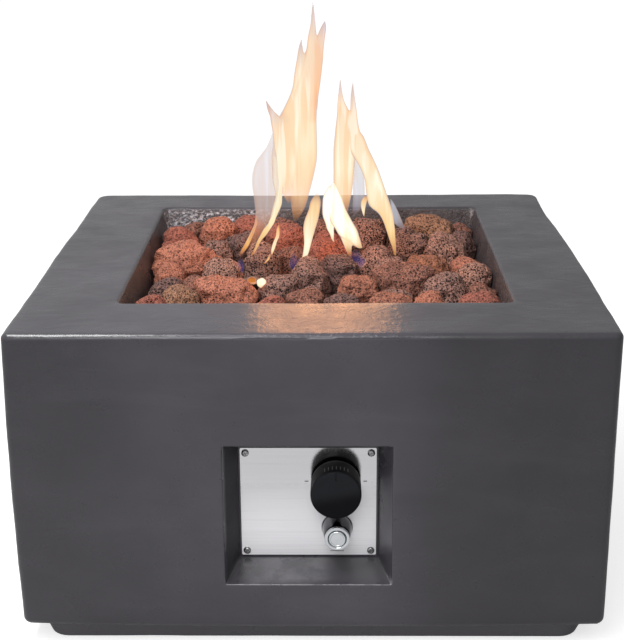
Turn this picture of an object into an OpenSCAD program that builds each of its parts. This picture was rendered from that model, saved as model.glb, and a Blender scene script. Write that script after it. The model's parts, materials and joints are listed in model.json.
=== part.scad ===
// Square gas fire pit table: a one-piece cast body with a drafted fire bowl and a control recess,
// a drop-in burner pan with a ring burner and lava rock, a push-and-turn gas valve with flame
// failure device, and a battery spark igniter. Millimetres, origin on the floor under the plan
// centre, +Z up, front face towards -Y.

/* [Table] */
// Width and depth of the square table
table_w = 711; // [690:1:740]
// Height from the floor to the top of the rim
table_h = 406; // [400:1:440]
// Thickness of the cast outer walls
wall_t = 13; // [11:0.5:16]
// Thickness of the cast top slab
rim_t = 15; // [12:0.5:20]
// Rounding of the top edges
edge_r = 7; // [4:0.5:9]
// Plan radius of the two front corners
front_corner_r = 10; // [9:0.5:20]
// Plan radius of the two back corners
back_corner_r = 18; // [10:0.5:30]
// Rounding of the body's lower edge
lower_edge_r = 9; // [5:0.5:9]
// Height of the set-back plinth
plinth_h = 30; // [24:1:40]
// Distance that the plinth is set back from the body
plinth_set = 25; // [18:1:32]
// Plan radius of the plinth's corners
plinth_r = 25; // [12:1:40]
// Width of the hose notch in the rear of the plinth
notch_w = 44; // [30:1:60]
// Height of the hose notch
notch_h = 21; // [14:1:23]

/* [Fire bowl] */
// Width of the bowl's mouth
bowl_w = 486; // [470:1:510]
// Depth of the bowl's mouth from front to back
bowl_d = 494; // [475:1:515]
// Distance of the bowl's centre to the right of the table's centre
bowl_x = 4; // [-6:0.5:8]
// Distance of the bowl's centre behind the table's centre
bowl_y = 14; // [0:0.5:18]
// Depth from the rim to the ledge that carries the burner pan
bowl_depth = 78; // [70:1:90]
// Inward slope of each bowl wall over its depth
bowl_draft = 15; // [8:0.5:20]
// Radius of the bowl's upright corners
bowl_r = 12; // [6:0.5:20]
// Thickness of the bowl's walls
bowl_wall = 13; // [11:0.5:18]
// Width of the ledge under the pan
ledge_w = 20; // [16:0.5:24]
// Thickness of the ledge
ledge_t = 14; // [12:0.5:18]

/* [Control recess] */
// Width of the recess at the front face
recess_w = 200; // [196:1:206]
// Height of the recess at the front face
recess_h = 180; // [176:1:184]
// Distance of the recess's centre from the table's centre, to the right
recess_x = -5; // [-20:1:20]
// Height of the recess's centre above the floor
recess_z = 177; // [170:1:185]
// Depth from the front face to the seat of the panel
recess_depth = 51.5; // [44:0.5:56]
// Thickness of the seat behind the panel
seat_t = 14; // [12.5:0.5:18]
// Width of the seat round the window behind the panel
seat_w = 14.5; // [13:0.5:17]

/* [Control panel] */
// Width of the panel
panel_w = 166; // [160:1:170]
// Height of the panel
panel_h = 144; // [140:1:150]
// Thickness of the panel
panel_t = 1.5; // [1:0.1:2]
// Height of the panel's centre above the floor
panel_z = 172.5; // [168:0.5:178]
// Gap between the panel's edge and the recess
panel_gap = 2; // [1:0.5:3]
// Distance from the panel's edges to its corner screws
screw_inset = 6.5; // [6:0.1:7]
// Diameter of the corner screws' shanks
screw_d = 5; // [4:0.1:5.2]
// Distance of the knob's axis to the right of the panel's centre
knob_dx = 33.5; // [30:0.5:38]
// Distance of the knob's axis above the panel's centre
knob_dz = 28; // [24:0.5:32]
// Distance of the igniter's axis to the right of the panel's centre
igniter_dx = 35; // [30:0.5:40]
// Distance of the igniter's axis below the panel's centre
igniter_dz = 33.5; // [30:0.5:38]

/* [Knob] */
// Diameter of the knob's skirt
knob_d = 60; // [54:0.5:62]
// Distance that the knob's face stands out from the panel
knob_out = 35; // [34:0.5:40]
// Gap between the knob's skirt and the panel
knob_lift = 5.5; // [5:0.1:7]
// Thickness of the knob's wall
knob_wall = 2.5; // [1.5:0.1:3]
// Distance that the knob is pushed in to open the safety valve
press_travel = 4; // [3:0.1:4]

/* [Gas valve] */
// Diameter of the valve's stem
stem_d = 8; // [7:0.1:9]
// Diameter of the bonnet's nose, which passes through the panel
nose_d = 16; // [15:0.1:18]
// Thickness of the bonnet's flange
bonnet_t = 6; // [5:0.1:8]
// Diameter of the valve's body
valve_d = 34; // [32:0.5:38]
// Length of the valve's body behind the bonnet
valve_len = 44; // [42:1:50]
// Distance between the two screws that hold the valve
valve_pitch = 38; // [36:0.5:40]
// Thickness of the folded heat shield
shield_t = 1; // [0.8:0.1:1.5]
// Outer diameter of the inlet's pipe thread
inlet_d = 13.16; // [12:0.01:14]
// Length of the inlet's pipe thread
inlet_len = 12; // [10:0.5:14]
// Outer diameter of the gas pipe
pipe_d = 8; // [7:0.5:10]
// Bend radius of the gas pipe's centre line
pipe_bend = 20; // [16:1:26]

/* [Igniter] */
// Diameter of the chrome bezel on the panel
bezel_d = 38.8; // [36:0.1:40]
// Diameter of the chrome cap
cap_d = 29.6; // [29:0.1:31]
// Distance that the cap's face stands out from the panel
cap_out = 33.5; // [32:0.5:36]
// Diameter of the push button
button_d = 21; // [19:0.1:21.5]
// Distance that the button travels
button_travel = 2.5; // [1.5:0.1:2.5]
// Diameter of the igniter's threaded housing
housing_d = 26; // [25:0.1:26.5]

/* [Burner] */
// Radius of the burner ring's centre line
ring_r = 98; // [90:1:106]
// Outer diameter of the ring's tube
ring_d = 16; // [14:0.5:18]
// Wall of the ring's tube
ring_wall = 1.5; // [1:0.1:2]
// Number of flame ports round the ring
ring_ports = 28; // [20:1:32]
// Diameter of a flame port
port_d = 2.5; // [2:0.1:3]
// Height of the ring's centre line above the pan's floor
ring_lift = 20; // [19:0.5:24]
// Outer diameter of the burner's supply nipple
nipple_d = 21.3; // [20:0.1:22]
// Depth of the pan below its flange
pan_depth = 28; // [26:1:30]
// Thickness of the pan's steel
pan_t = 1.5; // [1:0.1:2]
// Gap between the pan's flange and the bowl's walls
pan_gap = 3; // [2:0.5:4]
// Direction of the pilot bracket from the burner's centre, in degrees
pilot_angle = 220; // [215:1:226]
// Distance of the pilot bracket from the burner's centre
pilot_r = 116; // [115:1:122]
// Height of the pilot hood above the pan's floor
hood_h = 84; // [78:1:88]

/* [Lava rock] */
// Size of the rocks against the sizes in their lists
rock_size = 1.26; // [1.2:0.01:1.32]
// Depth of the lumps on a rock as a share of its radius
lump = 0.045; // [0.03:0.005:0.06]
// Gap between rocks that touch
rock_gap = 0.3; // [0.2:0.05:0.6]

/* [Hidden] */
$fn = 48;

// Small length by which a cutter passes a face
eps = 0.5;
// Radial clearance of a shaft that runs in a bore
run_gap = 0.05;
// Radial clearance of a piece that slides past another body
slide_gap = 0.25;
// Radial clearance of a screw or pin in its hole
fit_gap = 0.05;
// Radial clearance of a screw's shank in a plain hole
hole_gap = 0.25;

// Planes of the control panel
seat_y = -table_w / 2 + recess_depth;
panel_y = seat_y - panel_t;
knob_x = recess_x + knob_dx;
knob_z = panel_z + knob_dz;
igniter_x = recess_x + igniter_dx;
igniter_z = panel_z - igniter_dz;
screw_px = panel_w / 2 - screw_inset;
screw_pz = panel_h / 2 - screw_inset;
screw_head_d = screw_d * 1.8;
screw_head_h = screw_d * 0.56;
screw_len = 12;
insert_d = screw_d + 2.5;
insert_len = 10;
window_w = panel_w - 2 * seat_w;
window_h = panel_h - 2 * seat_w;

// Levels of the bowl, the pan and the burner
ledge_z = table_h - bowl_depth;
pan_flange_z = ledge_z + pan_t;
floor_z = pan_flange_z - pan_depth;
ring_z = floor_z + ring_lift;
ledge_level_w = bowl_w - 2 * bowl_draft;
ledge_level_d = bowl_d - 2 * bowl_draft;
well_w = ledge_level_w - 2 * ledge_w;
well_d = ledge_level_d - 2 * ledge_w;
flange_w = ledge_level_w - 2 * pan_gap;
flange_d = ledge_level_d - 2 * pan_gap;
tray_w = well_w - 2 * pan_gap;
tray_d = well_d - 2 * pan_gap;
tray_draft = 5;
tray_r = 16;

// Depths along the knob's axis, from the panel's front face outwards
bonnet_front = -panel_t - shield_t;
valve_front = bonnet_front - bonnet_t;
valve_rear = valve_front - valve_len;
nose_out = 2;
bonnet_w = valve_pitch + 12;
bonnet_h = valve_d;
bonnet_screw_r = valve_d / 2 - 4;
bonnet_screw_d = 3;
bonnet_screw_head = 5;
valve_screw_d = 4;
washer_t = 0.9;
circlip_t = 0.8;
circlip_at = nose_out + press_travel + 7;
spring_top = circlip_at - 0.1 - washer_t;
hub_start = circlip_at + 1.5;
hub_d = stem_d + 10;
insert_od = stem_d + 4;
stem_out = knob_out - 5;
stem_in = valve_front - 14;
stem_cavity = 14 + press_travel + 3;
inlet_at = valve_front - 18;
outlet_at = valve_front - 32;
boss_d = 18;
boss_len = 10;
boss_end = valve_d / 2 + boss_len;
magnet_hex = 17;
magnet_len = 8;
magnet_plug = 8;
thermo_nut_len = 10;

// The inlet elbow and the gas pipe
elbow_d = 16;
inlet_drop_x = knob_x - boss_end - 12 - elbow_d / 2;
inlet_y = panel_y - inlet_at;
outlet_y = panel_y - outlet_at;
inlet_hex_z = knob_z - 24;
pipe_nut_len = 12;
pipe_side = 26;
pipe_run_x = knob_x + boss_end + pipe_nut_len + pipe_side;

// The injector, mixer and nipple stand on the burner's axis
jet_thread_d = 8.4;
holder_hex = 19;
holder_h = 22;
holder_boss = 22;
mixer_z = knob_z + holder_h / 2;
nipple_low = floor_z - 32;
nipple_top = ring_z - ring_d / 2 - 0.5;
socket_h = 14;
mixer_top = nipple_low + socket_h;
mixer_d = 30;
mixer_wall = 2;
throat_r = 6.5;
lock_nut_hex = 30;
lock_nut_h = 6;
hub_outer_d = 34;
hub_low = floor_z + lock_nut_h;
hub_high = ring_z + ring_d / 2 + 2;

// The igniter's depths along its own axis
housing_rear = -62;
housing_shoulder = 5;
shoulder_t = 3;
neck_d = housing_d - 1;
cap_wall = 3;
button_flange_t = 2.5;
button_back = cap_out - cap_wall - button_flange_t - 0.3;
button_face = cap_out + 1;
button_spring_closed = 5.2;
neck_out = button_back - button_travel - button_spring_closed;
battery_d = 14.4;
battery_len = 50.4;
battery_front = 13;
battery_rear = battery_front - battery_len;
battery_hole = battery_d + 0.8;
igniter_nut_hex = 32;
igniter_nut_t = 6;

// The pilot bracket
pilot_w = 30;
pilot_deep = 16;
sheet_t = 1.2;
electrode_d = 2.2;
electrode_top = 50;
electrode_end = -26;
spark_reach = 6;
insulator_d = 6;
insulator_top = 30;
insulator_end = -16;
probe_d = 5.5;
probe_top = 40;
probe_side = 6;
ear = 12;
ear_screw_y = 9;

// Ends of the leads, and the hand-chosen points of their routes between them: plan places, each
// with its share of the rise from the route's start to its end
boot_len = 11;
electrode_low = -34;
probe_low = -12;
function pilot_point(side, z) = [
    bowl_x + pilot_r * cos(pilot_angle) - side * sin(pilot_angle),
    bowl_y + pilot_r * sin(pilot_angle) + side * cos(pilot_angle),
    floor_z + z
];
function route_point(start, end, x, y, share) = [x, y, start[2] + share * (end[2] - start[2])];
ignition_start = [igniter_x, panel_y - housing_rear + boot_len + 0.5, igniter_z + 5];
ignition_end = pilot_point(-probe_side, electrode_low);
ignition_route = concat(
    [ignition_start, ignition_start + [0, 14, 1]],
    [for (k = [[24, -192, 0.11], [2, -165, 0.34], [-28, -136, 0.52], [-62, -100, 0.65], [-84, -70, 0.76]])
        route_point(ignition_start, ignition_end, k[0], k[1], k[2])],
    [ignition_end - [0, 0, 14], ignition_end]
);
thermo_start = [knob_x, panel_y - valve_rear + magnet_len + thermo_nut_len + 1, knob_z];
thermo_end = pilot_point(probe_side, probe_low);
thermo_route = concat(
    [thermo_start, thermo_start + [0, 14, 0]],
    [for (k = [[20, -198, 0.03], [-4, -172, 0.13], [-36, -138, 0.29], [-62, -100, 0.49], [-76, -74, 0.69]])
        route_point(thermo_start, thermo_end, k[0], k[1], k[2])],
    [thermo_end - [0, 0, 14], thermo_end]
);

// Rocks of the top layer, one a line: the centre in hundredths of the bowl's half width and half
// depth, then width, depth and height, and the height of its top above the rim
front_left = [
    [-86, -76, 38, 36, 44, -6],
    [-73, -58, 50, 42, 46, -9],
    [-51, -50, 78, 58, 60, -4],
    [-83, -34, 42, 42, 46, -15],
    [-20, -40, 48, 50, 52, -5],
    [-62, -86, 46, 40, 46, -16],
    [-34, -84, 50, 42, 44, -20],
    [-24, -66, 40, 36, 44, -16]
];
front_right = [
    [-3, -86, 36, 36, 46, -8],
    [13, -72, 42, 40, 48, -9],
    [23, -40, 46, 44, 50, -6],
    [39, -78, 54, 46, 50, -5],
    [47, -29, 80, 70, 66, -2],
    [70, -47, 60, 58, 58, -4],
    [85, -74, 46, 46, 48, -5],
    [62, -84, 42, 38, 46, -14]
];
middle = [
    [-4, -20, 46, 78, 62, -3],
    [-34, 36, 44, 42, 50, -14],
    [11, -5, 46, 74, 64, -1],
    [-54, -9, 48, 44, 50, -8],
    [-32, 15, 42, 42, 52, -8],
    [88, -20, 44, 44, 46, -6],
    [64, 5, 54, 46, 50, -10],
    [-79, 19, 106, 70, 66, -3]
];
back_left = [
    [-87, 62, 50, 46, 50, -5],
    [-79, 84, 40, 40, 46, -12],
    [-63, 74, 52, 50, 64, 2],
    [-46, 47, 52, 50, 58, -5],
    [-46, 86, 50, 44, 54, -3],
    [-20, 60, 54, 52, 62, -2]
];
back_right = [
    [31, 62, 58, 58, 74, 9],
    [57, 40, 52, 48, 54, -4],
    [69, 78, 74, 56, 62, 1],
    [75, 33, 62, 60, 62, -3],
    [88, 56, 40, 44, 48, -11],
    [89, 86, 40, 40, 46, -16]
];
fill = [
    [-6, -58, 46, 42, 48, -14],
    [-84, -8, 42, 40, 46, -16],
    [6, 60, 46, 42, 52, -10],
    [42, -4, 46, 44, 50, -12],
    [88, -48, 42, 40, 46, -14],
    [50, 62, 46, 46, 52, -8],
    [-66, -28, 40, 38, 44, -18],
    [60, -64, 40, 38, 44, -14],
    [6, 36, 56, 54, 58, -6],
    [34, 18, 54, 50, 56, -9],
    [4, 80, 54, 46, 56, -4],
    [38, 86, 48, 42, 52, -12],
    [-16, 28, 40, 40, 50, -12],
    [86, 10, 42, 44, 46, -18],
    [-90, 40, 38, 40, 46, -20],
    [-60, 40, 44, 42, 50, -12],
    [-22, 86, 42, 40, 50, -8],
    [42, -54, 40, 36, 46, -16]
];

// Rocks of the layer under them, which lie round the burner on the pan's floor
base_r = 27;
base_side = 7;
base_z = floor_z + 22;
base_half_w = tray_w / 2 - base_r;
base_half_d = tray_d / 2 - base_r;
pilot_plan = pilot_r * [cos(pilot_angle), sin(pilot_angle)];
base_pitch = 46;
base_inner_r = 60;
base_inner = [for (k = [0:5]) base_inner_r * [cos(30 + 60 * k), sin(30 + 60 * k)]];
base_round = [for (k = [0:11]) (ring_r + 36) * [cos(30 * k), sin(30 * k)]];
base_diagonal = [for (a = [-1, 1], b = [-1, 1])
    [a * (base_half_w - base_pitch), b * (base_half_d - base_pitch)]];
base_rows = [for (k = [0:base_side - 1], s = [-1, 1])
    [base_half_w * (2 * k / (base_side - 1) - 1), s * base_half_d]];
base_columns = [for (k = [1:base_side - 2], s = [-1, 1])
    [s * base_half_w, base_half_d * (2 * k / (base_side - 1) - 1)]];
base_plan = [for (p = concat(base_inner, base_round, base_diagonal, base_rows, base_columns))
    if (norm(p - pilot_plan) > 32) p];

top_list = concat(front_left, front_right, middle, back_left, back_right, fill);
top_rocks = [for (k = top_list) [
    [
        bowl_x + k[0] / 100 * bowl_w / 2,
        bowl_y + k[1] / 100 * bowl_d / 2,
        table_h + k[5] - k[4] / 2 * rock_size
    ],
    [k[2], k[3], k[4]] / 2 * rock_size
]];
base_rocks = [for (p = base_plan) [
    [bowl_x + p[0], bowl_y + p[1], base_z],
    [base_r, base_r, base_r - 2] * rock_size
]];
all_rocks = concat(top_rocks, base_rocks);

// Pieces that the rocks lie against, as balls strung along them: centre and radius
ring_balls = [for (a = [0:7.5:352]) [
    [bowl_x + ring_r * cos(a), bowl_y + ring_r * sin(a), ring_z], ring_d / 2 + 2.6]];
bar_balls = [for (x = [-ring_r + 12:8:ring_r - 12]) [[bowl_x + x, bowl_y, ring_z], ring_d / 2 + 1]];
hub_balls = [for (z = [floor_z:6:hub_high]) [[bowl_x, bowl_y, z], hub_outer_d / 2 + 3]];
pilot_balls = [for (z = [0:8:hood_h]) [
    [bowl_x + pilot_r * cos(pilot_angle), bowl_y + pilot_r * sin(pilot_angle), floor_z + z], 20]];
ear_balls = [[
    [
        bowl_x + (pilot_r + pilot_deep) * cos(pilot_angle),
        bowl_y + (pilot_r + pilot_deep) * sin(pilot_angle),
        floor_z
    ], 18]];
keep_balls = concat(ring_balls, bar_balls, hub_balls, pilot_balls, ear_balls);

// Faces that bound the rocks: the sloping walls, the pan's flange edge and its floor
wall_lean = atan(bowl_draft / bowl_depth);
function side_plane(dir, half) =
    let (n = [dir[0] * cos(wall_lean), dir[1] * cos(wall_lean), -sin(wall_lean)])
    [n, n * [bowl_x + dir[0] * half, bowl_y + dir[1] * half, table_h] - rock_gap];
function edge_plane(dir, half) =
    let (n = [dir[0], dir[1], -1] / sqrt(2))
    [n, n * [bowl_x + dir[0] * half, bowl_y + dir[1] * half, pan_flange_z] - rock_gap];
bounds = [
    side_plane([1, 0], bowl_w / 2), side_plane([-1, 0], bowl_w / 2),
    side_plane([0, 1], bowl_d / 2), side_plane([0, -1], bowl_d / 2),
    edge_plane([1, 0], tray_w / 2 - pan_t), edge_plane([-1, 0], tray_w / 2 - pan_t),
    edge_plane([0, 1], tray_d / 2 - pan_t), edge_plane([0, -1], tray_d / 2 - pan_t),
    [[0, 0, -1], -floor_z - rock_gap]
];

// Radius of a ball with semi-axes r in the direction n, slightly squared off
function ball_radius(r, n) =
    pow(
        pow(abs(n[0]) / r[0], 2.4) + pow(abs(n[1]) / r[1], 2.4) + pow(abs(n[2]) / r[2], 2.4),
        -1 / 2.4
    );
function lumps(n, s) =
    1 + lump * (sin(230 * n[0] + s[0]) + sin(210 * n[1] + s[1]) + sin(260 * n[2] + s[2])
        + 0.6 * sin(270 * (n[0] - n[1]) + s[3]));
// Cutting faces of rock i: each is a direction and the distance from the rock's centre
function rock_cuts(i) =
    let (c = all_rocks[i][0], r = all_rocks[i][1], reach = max(r) * 1.4)
    concat(
        [for (j = [0:len(all_rocks) - 1])
            let (v = all_rocks[j][0] - c, gap = norm(v))
            if (j != i && gap < reach + max(all_rocks[j][1]) * 1.4)
                let (n = v / gap, mine = ball_radius(r, n), other = ball_radius(all_rocks[j][1], n))
                [n, gap * mine / (mine + other) - rock_gap / 2]],
        [for (k = keep_balls)
            let (v = k[0] - c, gap = norm(v))
            if (gap < reach + k[1]) [v / gap, max(gap - k[1] - rock_gap, 2)]],
        [for (b = bounds) [b[0], max(b[1] - b[0] * c, 2)]]
    );
function rock_radius(n, r, cuts, s) =
    min(concat(
        [ball_radius(r, n) * lumps(n, s)],
        [for (k = cuts) if (k[0] * n > 0.05) k[1] / (k[0] * n)]
    ));
// Corners of rock i on rings of `around` corners, between two poles
function rock_points(i, around, rings) =
    let (
        cuts = rock_cuts(i),
        s = rands(0, 360, 5, i + 11),
        dirs = concat(
            [[0, 0, -1]],
            [for (j = [1:rings], k = [0:around - 1])
                let (p = 180 * j / (rings + 1), a = 360 * (k + j % 2 / 2) / around + s[4])
                [sin(p) * cos(a), sin(p) * sin(a), -cos(p)]],
            [[0, 0, 1]]
        )
    )
    [for (n = dirs) all_rocks[i][0] + n * rock_radius(n, all_rocks[i][1], cuts, s)];
function band_faces(j, around) =
    [for (k = [0:around - 1])
        let (
            a = 1 + j * around + k,
            b = 1 + j * around + (k + 1) % around,
            shift = j % 2 == 0 ? 1 : 0,
            c = a + around,
            d = b + around
        )
        each (shift == 1 ? [[a, c, b], [b, c, d]] : [[a, c, d], [a, d, b]])];
function rock_faces(around, rings) =
    concat(
        [for (k = [0:around - 1]) [0, 1 + k, 1 + (k + 1) % around]],
        [for (j = [0:rings - 2]) each band_faces(j, around)],
        [for (k = [0:around - 1])
            let (first = 1 + (rings - 1) * around, last = 1 + rings * around)
            [last, first + (k + 1) % around, first + k]]
    );

// Points of a smooth curve through the points p, with steps points on each stretch
function between(p, i, t) =
    let (
        n = len(p),
        a = p[max(i - 1, 0)],
        b = p[i],
        c = p[min(i + 1, n - 1)],
        d = p[min(i + 2, n - 1)]
    )
    0.5 * (2 * b + (c - a) * t + (2 * a - 5 * b + 4 * c - d) * t * t + (3 * b - a - 3 * c + d) * t * t * t);
function smooth(p, steps) =
    concat(
        [for (i = [0:len(p) - 2], k = [0:steps - 1]) between(p, i, k / steps)],
        [p[len(p) - 1]]
    );
function unit(v) = v / norm(v);
function heading(p, i) = unit(p[min(i + 1, len(p) - 1)] - p[max(i - 1, 0)]);

// Tube of radius r swept along the points p, with its rings square to an even sideways direction
module tube_along(p, r, sides, side = [1, 0.2, 0.1]) {
    points = [for (i = [0:len(p) - 1])
        let (t = heading(p, i), u = unit(cross(side, t)), w = cross(t, u))
        for (k = [0:sides - 1]) p[i] + r * (cos(360 * k / sides) * u + sin(360 * k / sides) * w)];
    last = (len(p) - 1) * sides;
    faces = concat(
        [[for (k = [0:sides - 1]) sides - 1 - k]],
        [for (i = [0:len(p) - 2], k = [0:sides - 1])
            let (a = i * sides + k, b = i * sides + (k + 1) % sides)
            each [[a, b, b + sides], [a, b + sides, a + sides]]],
        [[for (k = [0:sides - 1]) last + k]]
    );
    polyhedron(points = points, faces = [for (f = faces) [for (k = [len(f) - 1:-1:0]) f[k]]]);
}

// Compression spring from z = 0 to z = h, with flat closed ends
module coil_spring(r, wire, h, turns) {
    steps = 14;
    count = steps * turns;
    rise = h - wire;
    points = [for (i = [0:count]) let (a = 360 * i / steps)
        [r * cos(a), r * sin(a), wire / 2 + rise * i / count]];
    tube_along(points, wire / 2, 6, [0, 0, 1]);
}

module on_panel(x, z) {
    translate([x, panel_y, z]) rotate([90, 0, 0]) children();
}

module on_knob() {
    on_panel(knob_x, knob_z) children();
}

module on_igniter() {
    on_panel(igniter_x, igniter_z) children();
}

module on_burner() {
    translate([bowl_x, bowl_y, 0]) children();
}

module on_pilot() {
    on_burner() rotate(pilot_angle) translate([pilot_r, 0, floor_z]) children();
}

module at_screws() {
    for (x = [-1, 1], z = [-1, 1]) on_panel(recess_x + x * screw_px, panel_z + z * screw_pz) children();
}

// Hexagonal prism with its flats `across` apart, from z = 0 to z = h
module hex(across, h) {
    cylinder(d = across / cos(30), h = h, $fn = 6);
}

module slab(w, d, h, r) {
    translate([-w / 2 + r, -d / 2, 0]) cube([w - 2 * r, d, h]);
    translate([-w / 2, -d / 2 + r, 0]) cube([w, d - 2 * r, h]);
    for (x = [-1, 1], y = [-1, 1]) translate([x * (w / 2 - r), y * (d / 2 - r), 0]) cylinder(r = r, h = h);
}

// Ring that rounds a corner of the body: plan radius r and edge rounding e
module corner_ring(r, e) {
    rotate_extrude($fn = 32) intersection() {
        translate([r - e, 0]) circle(r = e, $fn = 32);
        translate([0, -e]) square([r, 2 * e]);
    }
}

module casing() {
    hull() {
        for (x = [-1, 1], y = [-1, 1]) {
            r = y < 0 ? front_corner_r : back_corner_r;
            translate([x * (table_w / 2 - r), y * (table_w / 2 - r), 0]) {
                translate([0, 0, table_h - edge_r]) corner_ring(r, edge_r);
                translate([0, 0, plinth_h + lower_edge_r]) corner_ring(r, lower_edge_r);
            }
        }
    }
}

module plinth() {
    half = table_w / 2 - plinth_set - plinth_r;
    hull() for (x = [-1, 1], y = [-1, 1]) translate([x * half, y * half, 0])
        cylinder(r = plinth_r, h = plinth_h + lower_edge_r, $fn = 32);
}

// Rounded frustum between a top rectangle at z1 and a smaller one at z0
module funnel(w1, d1, z1, w0, d0, z0, r) {
    hull() {
        for (x = [-1, 1], y = [-1, 1]) {
            translate([x * (w1 / 2 - r), y * (d1 / 2 - r), z1 - 0.02]) cylinder(r = r, h = 0.02, $fn = 32);
            translate([x * (w0 / 2 - r), y * (d0 / 2 - r), z0]) cylinder(r = r, h = 0.02, $fn = 32);
        }
    }
}

module hollow() {
    inner = table_w - 2 * wall_t;
    low = inner - 2 * plinth_set;
    translate([-inner / 2, -inner / 2, plinth_h + wall_t])
        cube([inner, inner, table_h - rim_t - plinth_h - wall_t]);
    translate([-low / 2, -low / 2, -eps]) cube([low, low, plinth_h + wall_t + 2 * eps]);
}

// Solid frustum from the front face to the panel's seat, grown by g on its sides and t in depth
module recess_form(g, t) {
    w = panel_w + 2 * panel_gap;
    h = panel_h + 2 * panel_gap;
    front = -table_w / 2;
    hull() {
        translate([recess_x - recess_w / 2 - g, front - (g > 0 ? -1 : eps), recess_z - recess_h / 2 - g])
            cube([recess_w + 2 * g, 0.02, recess_h + 2 * g]);
        translate([recess_x - w / 2 - g, seat_y + t - 0.02, panel_z - h / 2 - g])
            cube([w + 2 * g, 0.02, h + 2 * g]);
    }
}

module hose_notch() {
    r = 8;
    translate([0, table_w / 2 - plinth_set + eps, 0]) rotate([90, 0, 0])
        linear_extrude(wall_t + 2 * eps) {
            translate([-notch_w / 2, -eps]) square([notch_w, notch_h - r + eps]);
            translate([-notch_w / 2 + r, 0]) square([notch_w - 2 * r, notch_h]);
            for (x = [-1, 1]) translate([x * (notch_w / 2 - r), notch_h - r]) circle(r = r);
        }
}

module body_shell() {
    color([0.29, 0.29, 0.31]) difference() {
        union() {
            difference() {
                union() {
                    casing();
                    plinth();
                }
                hollow();
            }
            on_burner() funnel(
                bowl_w + 2 * bowl_wall, bowl_d + 2 * bowl_wall, table_h - rim_t + 1,
                ledge_level_w + 2 * bowl_wall, ledge_level_d + 2 * bowl_wall, ledge_z - ledge_t, bowl_r
            );
            recess_form(wall_t, seat_t);
        }
        on_burner() funnel(
            bowl_w + bowl_draft / bowl_depth * 2, bowl_d + bowl_draft / bowl_depth * 2, table_h + 1,
            ledge_level_w, ledge_level_d, ledge_z, bowl_r
        );
        on_burner() translate([0, 0, ledge_z - ledge_t - eps])
            slab(well_w, well_d, ledge_t + 2 * eps, tray_r);
        recess_form(0, 0);
        translate([recess_x - window_w / 2, seat_y - eps, panel_z - window_h / 2])
            cube([window_w, seat_t + 2 * eps, window_h]);
        at_screws() translate([0, 0, -panel_t - insert_len - 2])
            cylinder(d = insert_d, h = insert_len + 2 + panel_t);
        hose_notch();
    }
}

module panel_inserts() {
    color("goldenrod") at_screws() translate([0, 0, -panel_t - insert_len]) difference() {
        cylinder(d = insert_d - 2 * fit_gap, h = insert_len);
        translate([0, 0, -eps]) cylinder(d = screw_d, h = insert_len + 2 * eps);
    }
}

module control_panel() {
    color([0.78, 0.78, 0.79]) difference() {
        on_panel(recess_x, panel_z) translate([0, 0, -panel_t]) slab(panel_w, panel_h, panel_t, 2);
        at_screws() translate([0, 0, -panel_t - eps])
            cylinder(d = screw_d + 2 * hole_gap, h = panel_t + 2 * eps);
        on_knob() translate([0, 0, -panel_t - eps])
            cylinder(d = nose_d + 2 * hole_gap, h = panel_t + 2 * eps);
        on_knob() for (x = [-1, 1]) translate([x * valve_pitch / 2, 0, -panel_t - eps])
            cylinder(d = valve_screw_d + 2 * hole_gap, h = panel_t + 2 * eps);
        on_igniter() translate([0, 0, -panel_t - eps])
            cylinder(d = housing_d + 2 * hole_gap, h = panel_t + 2 * eps);
    }
}

// Pan-head screw with a cross recess: its head stands on z = 0 and its shank points to -z
module pan_screw(d, head_d, head_h, length) {
    difference() {
        union() {
            rotate_extrude() polygon([
                [0, 0], [head_d / 2, 0], [head_d / 2, head_h * 0.45], [head_d * 0.44, head_h * 0.75],
                [head_d * 0.3, head_h], [0, head_h]
            ]);
            translate([0, 0, -length]) cylinder(d = d - 2 * fit_gap, h = length + 0.1);
        }
        for (a = [0, 90]) rotate(a) translate([-head_d * 0.24, -d * 0.09, head_h * 0.35])
            cube([head_d * 0.48, d * 0.18, head_h]);
    }
}

module panel_screws() {
    color([0.7, 0.7, 0.72]) at_screws() rotate(20) pan_screw(screw_d, screw_head_d, screw_head_h, screw_len);
}

// Folded sheet between the panel and the valve, with a shelf over the valve
module heat_shield() {
    w = window_w - 2 * knob_dx - 2;
    low = bonnet_h / 2 + 4;
    high = window_h / 2 - knob_dz - 1;
    deep = 84;
    color([0.66, 0.67, 0.68]) difference() {
        on_knob() translate([-w / 2, 0, 0]) {
            translate([0, -low, bonnet_front]) cube([w, low + high, shield_t]);
            translate([0, high - shield_t, bonnet_front - deep + shield_t]) cube([w, shield_t, deep]);
            for (x = [0, w - shield_t]) translate([x, high - 8, bonnet_front - deep + shield_t])
                cube([shield_t, 8, deep]);
        }
        on_knob() translate([0, 0, bonnet_front - eps])
            cylinder(d = nose_d + 2 * hole_gap, h = shield_t + 2 * eps);
        on_knob() for (x = [-1, 1]) translate([x * valve_pitch / 2, 0, bonnet_front - eps])
            cylinder(d = valve_screw_d + 2 * hole_gap, h = shield_t + 2 * eps);
    }
}

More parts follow.
